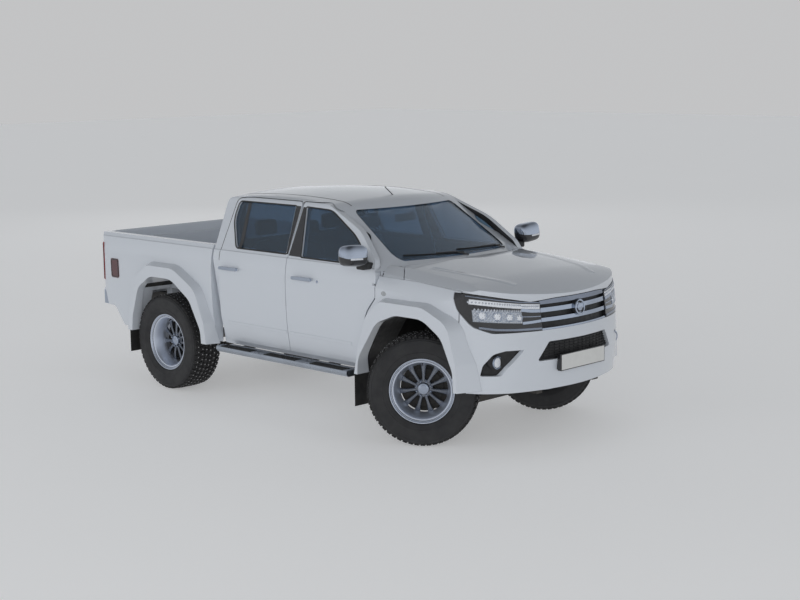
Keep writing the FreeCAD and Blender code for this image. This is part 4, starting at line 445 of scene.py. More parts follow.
def add_lathe(bm: BMesh, profile: Sequence[Pair], steps: int,
              place: Matrix, closed: bool = False) -> None:
    """Adds a turned shape.

    Args:
        bm: Mesh to add to.
        profile: Radius and distance along the axis, in order.
        steps: Steps of the turn.
        place: Where the shape's own Z axis goes.
        closed: Joins the profile's ends.
    """
    verts = [bm.verts.new((radius, 0.0, along)) for radius, along in profile]
    pairs = list(zip(verts, verts[1:]))
    if closed:
        pairs.append((verts[-1], verts[0]))
    edges = [bm.edges.new(pair) for pair in pairs]
    known = set(bm.verts) - set(verts)
    bmesh.ops.spin(bm, geom=verts + edges, cent=(0, 0, 0), axis=(0, 0, 1), angle=FULL_TURN, steps=steps,
                   use_merge=True, use_normal_flip=False)
    fresh = [vert for vert in bm.verts if vert not in known]
    bmesh.ops.remove_doubles(bm, verts=fresh, dist=MERGE_DISTANCE)
    fresh = [vert for vert in bm.verts if vert not in known]
    faces = list({face for vert in fresh for face in vert.link_faces})
    bmesh.ops.recalc_face_normals(bm, faces=faces)
    bmesh.ops.transform(bm, matrix=place, verts=fresh)


def add_rod(bm: BMesh, start: Sequence[float], end: Sequence[float], radius: float,
            segments: int = 16, end_radius: float | None = None) -> None:
    """Adds a closed round bar between two points."""
    start, end = Vector(start), Vector(end)
    axis = end - start
    place = Matrix.Translation((start + end) / 2) @ turned_to(axis)
    far = radius if end_radius is None else end_radius
    bmesh.ops.create_cone(bm, cap_ends=True, segments=segments, radius1=radius, radius2=far,
                          depth=axis.length, matrix=place)


def add_swept(bm: BMesh, stations: Sequence[Matrix], section: Sequence[Pair],
              closed: bool = False) -> None:
    """Extrudes a section through a row of stations.

    Args:
        bm: Mesh to add to.
        stations: One place for each step; the section lies in its XY plane.
        section: The section's corners, in order.
        closed: Joins the last station to the first.
    """
    ring = [bm.verts.new(stations[0] @ Vector((u, v, 0.0))) for u, v in section]
    first = ring
    edges = [bm.edges.new((a, b)) for a, b in zip(ring, ring[1:] + ring[:1])]
    known = set(bm.verts) - set(ring)
    for station in list(stations[1:]) + ([stations[0]] if closed else []):
        made = bmesh.ops.extrude_edge_only(bm, edges=edges)["geom"]
        moved = [item for item in made if isinstance(item, bmesh.types.BMVert)]
        edges = [item for item in made if isinstance(item, bmesh.types.BMEdge)
                 and all(vert in moved for vert in item.verts)]
        next_of = {edge.other_vert(vert): vert for vert in moved for edge in vert.link_edges}
        ring = [next_of[vert] for vert in ring]
        for vert, (u, v) in zip(ring, section):
            vert.co = station @ Vector((u, v, 0.0))
    if closed:
        fresh = [vert for vert in bm.verts if vert not in known]
        bmesh.ops.remove_doubles(bm, verts=fresh, dist=MERGE_DISTANCE)
    else:
        bmesh.ops.contextual_create(bm, geom=first)
        bmesh.ops.contextual_create(bm, geom=ring)
    fresh = [vert for vert in bm.verts if vert not in known]
    faces = list({face for vert in fresh for face in vert.link_faces})
    bmesh.ops.recalc_face_normals(bm, faces=faces)


def rounded(corners: Sequence[Corner], steps: int = 6) -> list[Pair]:
    """Rounds a closed outline's corners.

    Args:
        corners: Two coordinates and a radius for each corner.
        steps: Points in each rounded corner.

    Returns:
        The outline's points.
    """
    points = []
    count = len(corners)
    for index, corner in enumerate(corners):
        here = Vector(corner[:2])
        radius = corner[2]
        before = Vector(corners[index - 1][:2]) - here
        after = Vector(corners[(index + 1) % count][:2]) - here
        turn = before.angle(after)
        most = min(before.length, after.length) * LONGEST_REACH
        reach = min(radius / math.tan(turn / 2), most) if radius else 0.0
        if not reach:
            points.append(tuple(here))
            continue
        start, end = here + before.normalized() * reach, here + after.normalized() * reach
        for step in range(steps + 1):
            t = step / steps
            points.append(tuple(start.lerp(here, t).lerp(here.lerp(end, t), t)))
    return points


def divided(points: Sequence[Pair], spacing: float, closed: bool) -> list[Pair]:
    """Adds points so that no run of an outline is longer than a spacing."""
    row = [Vector(point) for point in points] + ([Vector(points[0])] if closed else [])
    out = []
    for start, end in zip(row, row[1:]):
        parts = max(1, math.ceil((end - start).length / spacing))
        out += [tuple(start.lerp(end, part / parts)) for part in range(parts)]
    return out if closed else out + [tuple(row[-1])]


def smoothing_group() -> Tree:
    """Node group that shades faces smooth and leaves sharp edges sharp.

    Returns:
        The node group.
    """
    name = "shade_by_angle"
    known = bpy.data.node_groups.get(name)
    if known:
        return known
    group = bpy.data.node_groups.new(name, "GeometryNodeTree")
    group.interface.new_socket("Geometry", in_out="INPUT", socket_type="NodeSocketGeometry")
    group.interface.new_socket("Geometry", in_out="OUTPUT", socket_type="NodeSocketGeometry")
    source = group.nodes.new("NodeGroupInput")
    sink = group.nodes.new("NodeGroupOutput")
    faces = group.nodes.new("GeometryNodeSetShadeSmooth")
    edges = group.nodes.new("GeometryNodeSetShadeSmooth")
    edges.domain = "EDGE"
    edges.inputs["Shade Smooth"].default_value = False
    angle = group.nodes.new("GeometryNodeInputMeshEdgeAngle")
    sharp = group.nodes.new("FunctionNodeCompare")
    sharp.data_type = "FLOAT"
    sharp.operation = "GREATER_THAN"
    sharp.inputs["B"].default_value = SMOOTH_ANGLE
    group.links.new(source.outputs["Geometry"], faces.inputs["Geometry"])
    group.links.new(faces.outputs["Geometry"], edges.inputs["Geometry"])
    group.links.new(angle.outputs["Unsigned Angle"], sharp.inputs["A"])
    group.links.new(sharp.outputs["Result"], edges.inputs["Selection"])
    group.links.new(edges.outputs["Geometry"], sink.inputs["Geometry"])
    return group


def shade_by_angle(item: bpy.types.Object) -> None:
    """Shades an object smooth, apart from its sharp edges."""
    item.modifiers.new("shading", "NODES").node_group = smoothing_group()


def make_piece(bm: BMesh, name: str, finish: Finish, body: str = "chassis",
               subdivide: int = 0, thicken: float = 0.0) -> bpy.types.Object:
    """Turns a modelled mesh into a finished piece that rides on a body.

    Args:
        bm: The mesh, which is used up.
        name: Name of the piece.
        finish: Its finish.
        body: Body that it moves with.
        subdivide: Levels of subdivision.
        thicken: Wall thickness for an open surface, or 0.

    Returns:
        The object.
    """
    mesh = bpy.data.meshes.new(name)
    bm.normal_update()
    bm.to_mesh(mesh)
    bm.free()
    item = bpy.data.objects.new(name, mesh)
    bpy.context.scene.collection.objects.link(item)
    mesh.materials.append(finish.material())
    for face in mesh.polygons:
        face.use_smooth = True
    if thicken:
        wall = item.modifiers.new("wall", "SOLIDIFY")
        wall.thickness = thicken
        wall.offset = 0.0
    if subdivide:
        smooth = item.modifiers.new("subdivision", "SUBSURF")
        smooth.levels = subdivide
        smooth.render_levels = subdivide
    shade_by_angle(item)
    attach(item, body)
    LOG.info("%s rides on %s", name, body)
    return item


class Skin:
    """Surfaces of CAD nodes or pieces, found by rays, so that trim sits on them."""

    def __init__(self, nodes: Iterable[bpy.types.Object]) -> None:
        """Builds a search tree for each node."""
        graph = bpy.context.evaluated_depsgraph_get()
        self.trees = [BVHTree.FromObject(node, graph) for node in nodes]

    def hit(self, start: Sequence[float], way: Sequence[float]) -> Hit | None:
        """Nearest point that a ray meets.

        Args:
            start: Where the ray starts.
            way: Its direction.

        Returns:
            The point and the outward normal there, or None.
        """
        best = None
        way = Vector(way).normalized()
        for tree in self.trees:
            place, normal, _, distance = tree.ray_cast(Vector(start), way)
            if place is not None and (best is None or distance < best[2]):
                best = (place, normal if normal.dot(way) < 0 else -normal, distance)
        return None if best is None else best[:2]

    def side(self, x: float, z: float, side: float) -> Hit | None:
        """Point of the body side at a place in side view."""
        return self.hit((x, side * 3.0, z), (0, -side, 0))

    def beside(self, side: float) -> Find:
        """Finder of points at places in side view, for one side."""
        return lambda x, z: self.side(x, z, side)

    def front(self, y: float, z: float) -> Hit | None:
        """Point of the front at a place in front view."""
        return self.hit((4.0, y, z), (-1, 0, 0))

    def back(self, y: float, z: float) -> Hit | None:
        """Point of the back at a place in rear view."""
        return self.hit((-4.0, y, z), (1, 0, 0))

    def top(self, x: float, y: float) -> Hit | None:
        """Point of the top at a place in plan."""
        return self.hit((x, y, 3.0), (0, 0, -1))


def stations_on(found: Sequence[Hit], closed: bool, sink: float = 0.0) -> list[Matrix]:
    """Stations along points of a surface, their own Y axis out of it.

    Args:
        found: Points and normals, in order.
        closed: True where the last point leads to the first.
        sink: How deep the stations lie under the surface.

    Returns:
        A matrix for each point.
    """
    row = []
    count = len(found)
    for index, (place, normal) in enumerate(found):
        ahead = found[(index + 1) % count][0] if closed or index + 1 < count else place
        behind = found[index - 1][0] if closed or index else place
        along = (ahead - behind).normalized()
        across = normal.cross(along).normalized()
        out = along.cross(across).normalized()
        turn = Matrix((across, out, along)).transposed()
        row.append(Matrix.Translation(place - out * sink) @ turn.to_4x4())
    return row


def flat_strip(width: float, height: float) -> list[Pair]:
    """Section of a low moulding with softened shoulders."""
    half, soft = width / 2, min(width, height) * 0.3
    return [(-half, 0.0), (half, 0.0), (half, height - soft), (half - soft, height), (soft - half, height),
            (-half, height - soft)]


# Camera, lamps and floor

@dataclass
class Studio:
    """Camera at the photograph's viewing angle, soft lamps and a pale floor.

    Attributes:
        yaw: The camera's turn about Z, from looking along +Y.
        pitch: How far it looks down.
        focal: Focal length, in pixels of the frame.
        frame_width: Width of the frame, in pixels.
        lamps: Name, place and power of each softbox.
        fill: Strength of the surroundings' light at the horizon and under it.
        zenith: Its strength overhead.
        fade_height: Height on the unit sphere at which it is down to the overhead strength.
    """

    place: Point = (9.6043, -9.0747, 2.9560)
    yaw: float = 0.7795
    pitch: float = 0.1573
    roll: float = -0.0115
    focal: float = 1498.95
    frame_width: float = 800.0
    sensor: float = 36.0
    far: float = 200.0
    lamps: tuple[tuple[str, Point, float], ...] = (
        ("key", (12.5, -15.5, 5.4), 540.0),
        ("side", (-3.0, -17.5, 5.4), 170.0),
        ("rim", (-12.5, 11.0, 6.5), 70.0),
    )
    lamp_size: float = 7.5
    lamp_aim: Point = (0.0, 0.0, 0.8)
    floor_half: float = 60.0
    floor_depth: float = 0.0005
    floor_colour: Point = (0.82, 0.825, 0.83)
    floor_glow: float = 0.36
    back_colour: Point = (0.545, 0.548, 0.555)
    sky_colour: Point = (0.93, 0.96, 1.0)
    fill: float = 0.80
    zenith: float = 0.10
    fade_height: float = 0.9

    def camera(self) -> None:
        """Makes the camera, without any turn left to the render."""
        sin_yaw, cos_yaw = math.sin(self.yaw), math.cos(self.yaw)
        level = math.cos(self.pitch)
        ahead = Vector((-sin_yaw * level, cos_yaw * level, -math.sin(self.pitch)))
        right = Vector((cos_yaw, sin_yaw, 0.0))
        up = right.cross(ahead)
        cos, sin = math.cos(self.roll), math.sin(self.roll)
        right, up = right * cos + up * sin, up * cos - right * sin
        lens = bpy.data.cameras.new("camera")
        lens.sensor_width = self.sensor
        lens.lens = self.focal * lens.sensor_width / self.frame_width
        lens.clip_end = self.far
        item = bpy.data.objects.new("camera", lens)
        turn = Matrix((right, up, -ahead)).transposed()
        item.matrix_world = Matrix.Translation(self.place) @ turn.to_4x4()
        bpy.context.scene.collection.objects.link(item)
        bpy.context.scene.camera = item

    def lamp(self, name: str, place: Point, power: float) -> None:
        """Adds a square softbox that faces the truck and isn't mirrored by paint and chrome."""
        data = bpy.data.lights.new(name, "AREA")
        data.energy = power
        data.size = self.lamp_size
        item = bpy.data.objects.new(name, data)
        item.location = place
        item.rotation_euler = (Vector(self.lamp_aim) - Vector(place)).to_track_quat("-Z", "Y").to_euler()
        item.visible_glossy = False
        bpy.context.scene.collection.objects.link(item)

    def world(self) -> None:
        """Plain pale surroundings: soft light on the truck and a pale backdrop for the camera."""
        world = bpy.data.worlds.new("surroundings")
        bpy.context.scene.world = world
        world.use_nodes = True
        tree = world.node_tree
        tree.nodes.clear()
        rays = tree.nodes.new("ShaderNodeLightPath")
        seen = tree.nodes.new("ShaderNodeMath")
        seen.operation = "MAXIMUM"
        tree.links.new(rays.outputs["Is Camera Ray"], seen.inputs[0])
        tree.links.new(rays.outputs["Is Transmission Ray"], seen.inputs[1])
        back = tree.nodes.new("ShaderNodeBackground")
        back.inputs["Color"].default_value = (*self.back_colour, 1)
        back.inputs["Strength"].default_value = 1.0
        light = tree.nodes.new("ShaderNodeBackground")
        light.inputs["Color"].default_value = (*self.sky_colour, 1)
        way = tree.nodes.new("ShaderNodeTexCoord")
        parts = tree.nodes.new("ShaderNodeSeparateXYZ")
        fade = tree.nodes.new("ShaderNodeMapRange")
        fade.inputs["From Min"].default_value = 0.0
        fade.inputs["From Max"].default_value = self.fade_height
        fade.inputs["To Min"].default_value = self.fill
        fade.inputs["To Max"].default_value = self.zenith
        tree.links.new(way.outputs["Generated"], parts.inputs["Vector"])
        tree.links.new(parts.outputs["Z"], fade.inputs["Value"])
        tree.links.new(fade.outputs["Result"], light.inputs["Strength"])
        mix = tree.nodes.new("ShaderNodeMixShader")
        out = tree.nodes.new("ShaderNodeOutputWorld")
        tree.links.new(seen.outputs["Value"], mix.inputs["Fac"])
        tree.links.new(light.outputs["Background"], mix.inputs[1])
        tree.links.new(back.outputs["Background"], mix.inputs[2])
        tree.links.new(mix.outputs["Shader"], out.inputs["Surface"])

    def floor(self) -> None:
        """Adds the pale floor."""
        bm = bmesh.new()
        bmesh.ops.create_grid(bm, x_segments=1, y_segments=1, size=self.floor_half)
        bmesh.ops.translate(bm, verts=bm.verts, vec=(0, 0, -self.floor_depth))
        mesh = bpy.data.meshes.new("floor")
        bm.to_mesh(mesh)
        bm.free()
        item = bpy.data.objects.new("floor", mesh)
        bpy.context.scene.collection.objects.link(item)
        pale = Finish("floor_paint", self.floor_colour, tuple(c * 0.985 for c in self.floor_colour), 3.0,
                      roughness=0.75, spread=0.03, glow=self.floor_glow)
        mesh.materials.append(pale.material())

    def build(self) -> None:
        """Builds the whole studio."""
        self.camera()
        self.world()
        self.floor()
        for lamp in self.lamps:
            self.lamp(*lamp)
        bpy.context.scene.view_settings.view_transform = "Standard"


# Carried-over CAD nodes

Picker = Callable[[Vector, Vector], int]


@dataclass
class FrameDresser:
    """Gives each CAD node its finishes and shading, and leaves its mesh alone.

    A picker tells a face's finish by its number, from the face's centre and normal. A band is a lowest and a
    highest point, and a half is half of a width.

    Attributes:
        middle: Point inside the cabin that the cab's inner faces look at.
        cab_skin: Distance from the middle that the cab's outer skin begins at.
        firewall: How far forward the firewall begins, its half and its top.
        handle_y: Distance from the middle that only the doors' handles reach.
        bars: Band of each bright bar of the grille.
    """

    nodes: Nodes
    middle: Vector = field(default_factory=lambda: Vector((0.15, 0.0, 1.15)))
    cab_sill: float = 0.53
    cab_carpet: float = 0.62
    cab_ceiling: float = 1.70
    cab_skin: float = 0.90
    firewall: Point = (1.03, 0.85, 1.34)
    handle_y: float = 0.9385
    handle_band: Pair = (1.15, 1.25)
    bars: tuple[Pair, ...] = ((1.0775, 1.1125), (1.0055, 1.0365), (0.9435, 0.9585))
    top_bar: Pair = (1.137, 1.176)
    bars_foot: float = 0.90
    holder_x: float = 2.571
    holder_half: float = 0.268
    holder_band: Pair = (0.627, 0.745)
    lamp_back: float = -2.32
    step_y: float = 0.80

    def smooth(self, item: bpy.types.Object) -> None:
        """Joins a node's triangles for the render and shades them by angle."""
        weld = item.modifiers.new("joined", "WELD")
        weld.merge_threshold = WELD_DISTANCE
        shade_by_angle(item)

    def dress(self, name: str, finish: Finish) -> None:
        """Gives a node one finish."""
        self.zone(name, (finish,), lambda centre, normal: 0)

    def zone(self, name: str, finishes: Sequence[Finish], pick: Picker) -> None:
        """Gives a node several finishes by place.

        Args:
            name: The node.
            finishes: Its finishes, in order.
            pick: Gives a face's finish.
        """
        item = self.nodes[name]
        item.data.materials.clear()
        for finish in finishes:
            item.data.materials.append(finish.material())
        for face in item.data.polygons:
            face.material_index = pick(face.center, face.normal)
        self.smooth(item)

    def cab(self, centre: Vector, normal: Vector) -> int:
        """Finish of a cab face: paint, headliner, carpet, trim or underseal."""
        inward = normal.dot((self.middle - centre).normalized())
        ahead, half, top = self.firewall
        if centre.z < self.cab_sill and normal.z < -0.5:
            return 4
        if centre.x > ahead and centre.z < top and normal.x > 0.4 and abs(centre.y) < half:
            return 4
        if inward < 0.2 or abs(centre.y) > self.cab_skin:
            return 0
        if centre.z > self.cab_ceiling and normal.z < -0.4:
            return 1
        if centre.z < self.cab_carpet and normal.z > 0.4:
            return 2
        return 3

    def door(self, side: float) -> Picker:
        """Picker for a door: paint outside, chrome handle, grained trim inside."""
        low, high = self.handle_band

        def pick(centre: Vector, normal: Vector) -> int:
            """Finish of a door's face."""
            if abs(centre.y) > self.handle_y and low < centre.z < high:
                return 1
            return 2 if normal.y * side < -0.35 else 0

        return pick

    def grille(self, centre: Vector, normal: Vector) -> int:
        """Finish of a grille face: chrome bars before a black backing, and a dark top bar."""
        if centre.z < self.bars_foot:
            return 1
        if self.top_bar[0] <= centre.z <= self.top_bar[1]:
            return 2
        return 0 if any(low <= centre.z <= high for low, high in self.bars) else 1

    def bumper(self, centre: Vector, normal: Vector) -> int:
        """Finish of a bumper face: black inside and round the plate holder."""
        low, high = self.holder_band
        on_holder = centre.x > self.holder_x and abs(centre.y) < self.holder_half and low < centre.z < high
        if on_holder and normal.x > 0.9:
            return 2
        return 1 if on_holder or normal.x < -0.3 else 0

    def outside(self) -> None:
        """Dresses the nodes of the body's outside."""
        self.zone("front_wings", (PAINT, UNDERSEAL), lambda c, n: 1 if n.y * c.y < -0.3 else 0)
        self.zone("front_bumper", (PAINT, BLACK_PLASTIC, PLATE), self.bumper)
        self.zone("grille", (CHROME, BLACK_PLASTIC, DARK_CHROME), self.grille)
        self.dress("arch_flares", PAINT)
        self.zone("bed", (PAINT, UNDERSEAL), lambda c, n: 1 if n.z < -0.5 and c.z < 0.95 else 0)
        self.dress("tailgate", PAINT)
        self.zone("bonnet", (PAINT, UNDERSEAL), lambda c, n: 1 if n.z < -0.35 else 0)
        self.zone("front_lamps", (BLACK_GLOSS, BLACK_PLASTIC), lambda c, n: 1 if c.z < 0.85 else 0)
        self.dress("rear_bumper", CHROME)
        self.zone("tail_lamps", (RED_LENS, DARK_LENS), lambda c, n: 1 if c.x > self.lamp_back else 0)
        self.zone("side_steps", (SATIN, FRAME_PAINT), lambda c, n: 1 if abs(c.y) < self.step_y else 0)
        for label, side in SIDES:
            for place in ("front", "rear"):
                self.zone(f"door_{place}_{label}", (PAINT, CHROME, CABIN_PLASTIC), self.door(side))
                self.dress(f"glass_{place}_{label}", SIDE_GLASS)

    def build(self) -> None:
        """Dresses every node that no piece replaces."""
        plain = {
            FRAME_PAINT: ("chassis_frame", "front_suspension"),
            CAST_METAL: ("engine", "drivetrain", "rear_axle", "knuckle_right", "knuckle_left", "tie_rods"),
            EXHAUST: ("exhaust",),
            RADIATOR: ("radiator",),
            BLACK_PLASTIC: ("fuel_tank", "cowl", "antenna", "arch_liners"),
            FLAP: ("mud_flaps",),
            SCREEN_GLASS: ("cab_glass",),
            CABIN_PLASTIC: ("dashboard", "steering_wheel"),
        }
        for finish, names in plain.items():
            for name in names:
                self.dress(name, finish)
        self.zone("cab_shell", (PAINT, HEADLINER, CARPET, CABIN_PLASTIC, UNDERSEAL), self.cab)
        self.outside()


# Wheels

@dataclass
class Wheel:
    """Where one wheel stands, its axle's outward direction, and the names that its pieces share."""

    label: str
    front: bool
    centre: Vector
    outward: Vector

    @property
    def where(self) -> str:
        """Last part of the names of its pieces."""
        return f"{'front' if self.front else 'rear'}_{self.label}"

    @property
    def body(self) -> str:
        """Body that it turns with."""
        return f"{'front' if self.front else 'rear'}_wheel_{self.label}"

    @property
    def place(self) -> Matrix:
        """Where the wheel's own frame goes, its Z axis outwards."""
        up = Vector((0, 0, 1))
        turn = Matrix((up, self.outward.cross(up), self.outward)).transposed()
        return Matrix.Translation(self.centre) @ turn.to_4x4()


@dataclass(frozen=True)
class Block:
    """One block of a tread pitch.

    Attributes:
        along: Distance of its middle from the tyre's middle.
        width: Its width along the axle.
        share: Its length as a share of the pitch.
        yaw: Its turn in the tread's plane.
        drop: How far its top lies under the crown.
        shifts: Its place in the pitch, as a share, on the inner and the outer half of the tyre.
    """

    along: float
    width: float
    share: float
    yaw: float
    drop: float
    shifts: Pair


@dataclass
class StuddedTyre:
    """Winter tyre with siped blocks and steel studs, in place of a plain CAD tyre.

    Attributes:
        crown: Radius over the blocks.
        groove: Radius of the grooves' floor.
        root: How deep the blocks stand in that floor.
        sipe: Gap between a block's slabs.
        lean: How far a block leans for each metre that it lies under the crown.
        pitches: How many times the tread's pattern goes round.
        outer: Radius and offset of the outer surface, from the middle to the bead.
        inner: The same for the inner surface, from the bead to the middle.
        studs: Offset, place in the pitch as a share, and drop of each stud of a pitch.
        stud_reach: How far a stud stands out of its block.
    """

    wheel: Wheel
    crown: float = 0.4385
    groove: float = 0.4270
    root: float = 0.006
    sipe: float = 0.0016
    slabs: int = 2
    block_bevel: float = 0.0012
    lean: float = 14.0
    pitches: int = 56
    turn_steps: int = 112
    outer: tuple[Pair, ...] = (
        (0.4275, 0.0), (0.4270, 0.060), (0.4250, 0.108), (0.4210, 0.132), (0.4130, 0.1465), (0.4000, 0.1530),
        (0.3985, 0.1548), (0.3940, 0.1552), (0.3925, 0.1540), (0.3700, 0.1572), (0.3400, 0.1574),
        (0.3100, 0.1555), (0.3085, 0.1568), (0.3055, 0.1566), (0.3040, 0.1548), (0.2850, 0.1505),
        (0.2750, 0.1452), (0.2700, 0.1445), (0.2640, 0.1415), (0.2600, 0.1350), (0.2595, 0.1290),
        (0.2450, 0.1245), (0.2365, 0.1218),
    )
    inner: tuple[Pair, ...] = (
        (0.2365, 0.1000), (0.2600, 0.1180), (0.3200, 0.1400), (0.3900, 0.1360), (0.4100, 0.1000),
        (0.4120, 0.0),
    )
    blocks: tuple[Block, ...] = (
        Block(0.0220, 0.034, 0.80, 0.42, 0.0000, (0.00, 0.25)),
        Block(0.0680, 0.038, 0.74, 0.30, 0.0006, (0.35, 0.60)),
        Block(0.1175, 0.042, 0.70, 0.10, 0.0046, (0.85, 0.10)),
    )
    studs: tuple[Point, ...] = (
        (0.021, 0.34, 0.0), (-0.024, 0.08, 0.0), (0.066, 0.52, 0.0006), (-0.070, 0.44, 0.0006),
        (0.110, 0.02, 0.0040), (-0.112, 0.93, 0.0040),
    )
    stud_radii: Pair = (0.0058, 0.0046)
    stud_length: float = 0.012
    stud_reach: float = 0.0013

    def carcass(self) -> BMesh:
        """Turns the carcass as one closed ring."""
        half = self.outer + self.inner[:-1]
        mirrored = tuple((radius, -along) for radius, along in half[1:])
        bm = bmesh.new()
        add_lathe(bm, self.inner[-1:] + half[::-1] + mirrored, self.turn_steps, self.wheel.place, closed=True)
        return bm

    def add_block(self, bm: BMesh, block: Block, sign: float) -> None:
        """Adds one siped block to the tyre's outer (1) or inner (-1) half."""
        pitch = FULL_TURN / self.pitches
        each = (self.crown * pitch * block.share - self.sipe * (self.slabs - 1)) / self.slabs
        base, top = self.groove - self.root - block.drop, self.crown - block.drop
        middle = (base + top) / 2
        turn = Matrix.Rotation(pitch * block.shifts[sign > 0], 4, "Z")
        turn = turn @ Matrix.Translation((middle, 0, sign * block.along))
        turn = turn @ Matrix.Rotation(sign * block.yaw, 4, "X")
        lean = Matrix.Rotation(-sign * block.drop * self.lean, 4, "Y")
        size = Matrix.Diagonal((top - base, each, block.width, 1.0))
        for index in range(self.slabs):
            offset = (index - (self.slabs - 1) / 2) * (each + self.sipe)
            place = turn @ Matrix.Translation((0, offset, 0)) @ lean @ size
            made = bmesh.ops.create_cube(bm, size=1.0, matrix=place)
            edges = [edge for edge in {e for v in made["verts"] for e in v.link_edges}
                     if all(v.co.xy.length > middle for v in edge.verts)]
            bevel_edges(bm, edges, self.block_bevel, 1)

    def tread(self) -> BMesh:
        """Models one pitch of blocks and repeats it round the tyre."""
        bm = bmesh.new()
        for sign in (-1.0, 1.0):
            for block in self.blocks:
                self.add_block(bm, block, sign)
        repeat_round(bm, self.pitches)
        bmesh.ops.transform(bm, matrix=self.wheel.place, verts=bm.verts)
        return bm

    def stud_rows(self) -> BMesh:
        """Steel studs, set on different lines so that each meets the road apart."""
        bm = bmesh.new()
        foot_radius, tip_radius = self.stud_radii
        for along, shift, drop in self.studs:
            tip = self.crown - drop + self.stud_reach
            turn = Matrix.Rotation(FULL_TURN / self.pitches * shift, 4, "Z")
            foot = turn @ Vector((tip - self.stud_length, 0, along))
            add_rod(bm, foot, turn @ Vector((tip, 0, along)), foot_radius, 8, tip_radius)
        repeat_round(bm, self.pitches)
        bmesh.ops.transform(bm, matrix=self.wheel.place, verts=bm.verts)
        return bm

    def build(self) -> None:
        """Builds the tyre in place of its CAD node."""
        where, body = self.wheel.where, self.wheel.body
        carcass = make_piece(self.carcass(), f"tyre_carcass_{where}", SIDEWALL, body)
        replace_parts(carcass, f"tyre_{where}")
        make_piece(self.tread(), f"tyre_tread_{where}", TREAD, body)
        make_piece(self.stud_rows(), f"tyre_studs_{where}", STEEL, body)


@dataclass
class HubTrim:
    """Wheel nuts, plain centre cap and valve of one wheel.

    Places are radius and distance outwards. Rods have start, end, their radii and a number of sides.
    """

    wheel: Wheel
    cap: tuple[Pair, ...] = (
        (0.0, 0.0485), (0.023925, 0.0480), (0.0261, 0.0465), (0.03741, 0.0461), (0.042195, 0.0435),
        (0.0435, 0.0385), (0.0, 0.0385),
    )
    nuts: int = 8
    nut_circle: float = 0.0580
    nut_rods: tuple[tuple[float, float, float, float, int], ...] = (
        (0.024, 0.040, 0.0095, 0.0088, 6), (0.040, 0.046, 0.0080, 0.0040, 12),
    )
    valve_rods: tuple[tuple[Pair, Pair, float, float, int], ...] = (
        ((0.2090, 0.070), (0.1990, 0.098), 0.0048, 0.0036, 12),
        ((0.1990, 0.098), (0.1965, 0.106), 0.0045, 0.0045, 10),
    )

    def build(self) -> None:
        """Builds the hub's small pieces."""
        where, body, place = self.wheel.where, self.wheel.body, self.wheel.place
        cap = bmesh.new()
        add_lathe(cap, self.cap, 48, place)
        make_piece(cap, f"hub_cap_{where}", CHROME, body)
        nuts = bmesh.new()
        for index in range(self.nuts):
            turn = place @ Matrix.Rotation(FULL_TURN * (index + 0.5) / self.nuts, 4, "Z")
            for start, end, radius, end_radius, sides in self.nut_rods:
                foot = turn @ Vector((self.nut_circle, 0, start))
                add_rod(nuts, foot, turn @ Vector((self.nut_circle, 0, end)), radius, sides, end_radius)
        make_piece(nuts, f"wheel_nuts_{where}", CHROME, body)
        valve = bmesh.new()
        for start, end, radius, end_radius, sides in self.valve_rods:
            foot = place @ Vector((start[0], 0, start[1]))
            add_rod(valve, foot, place @ Vector((end[0], 0, end[1])), radius, sides, end_radius)
        make_piece(valve, f"tyre_valve_{where}", BLACK_PLASTIC, body)


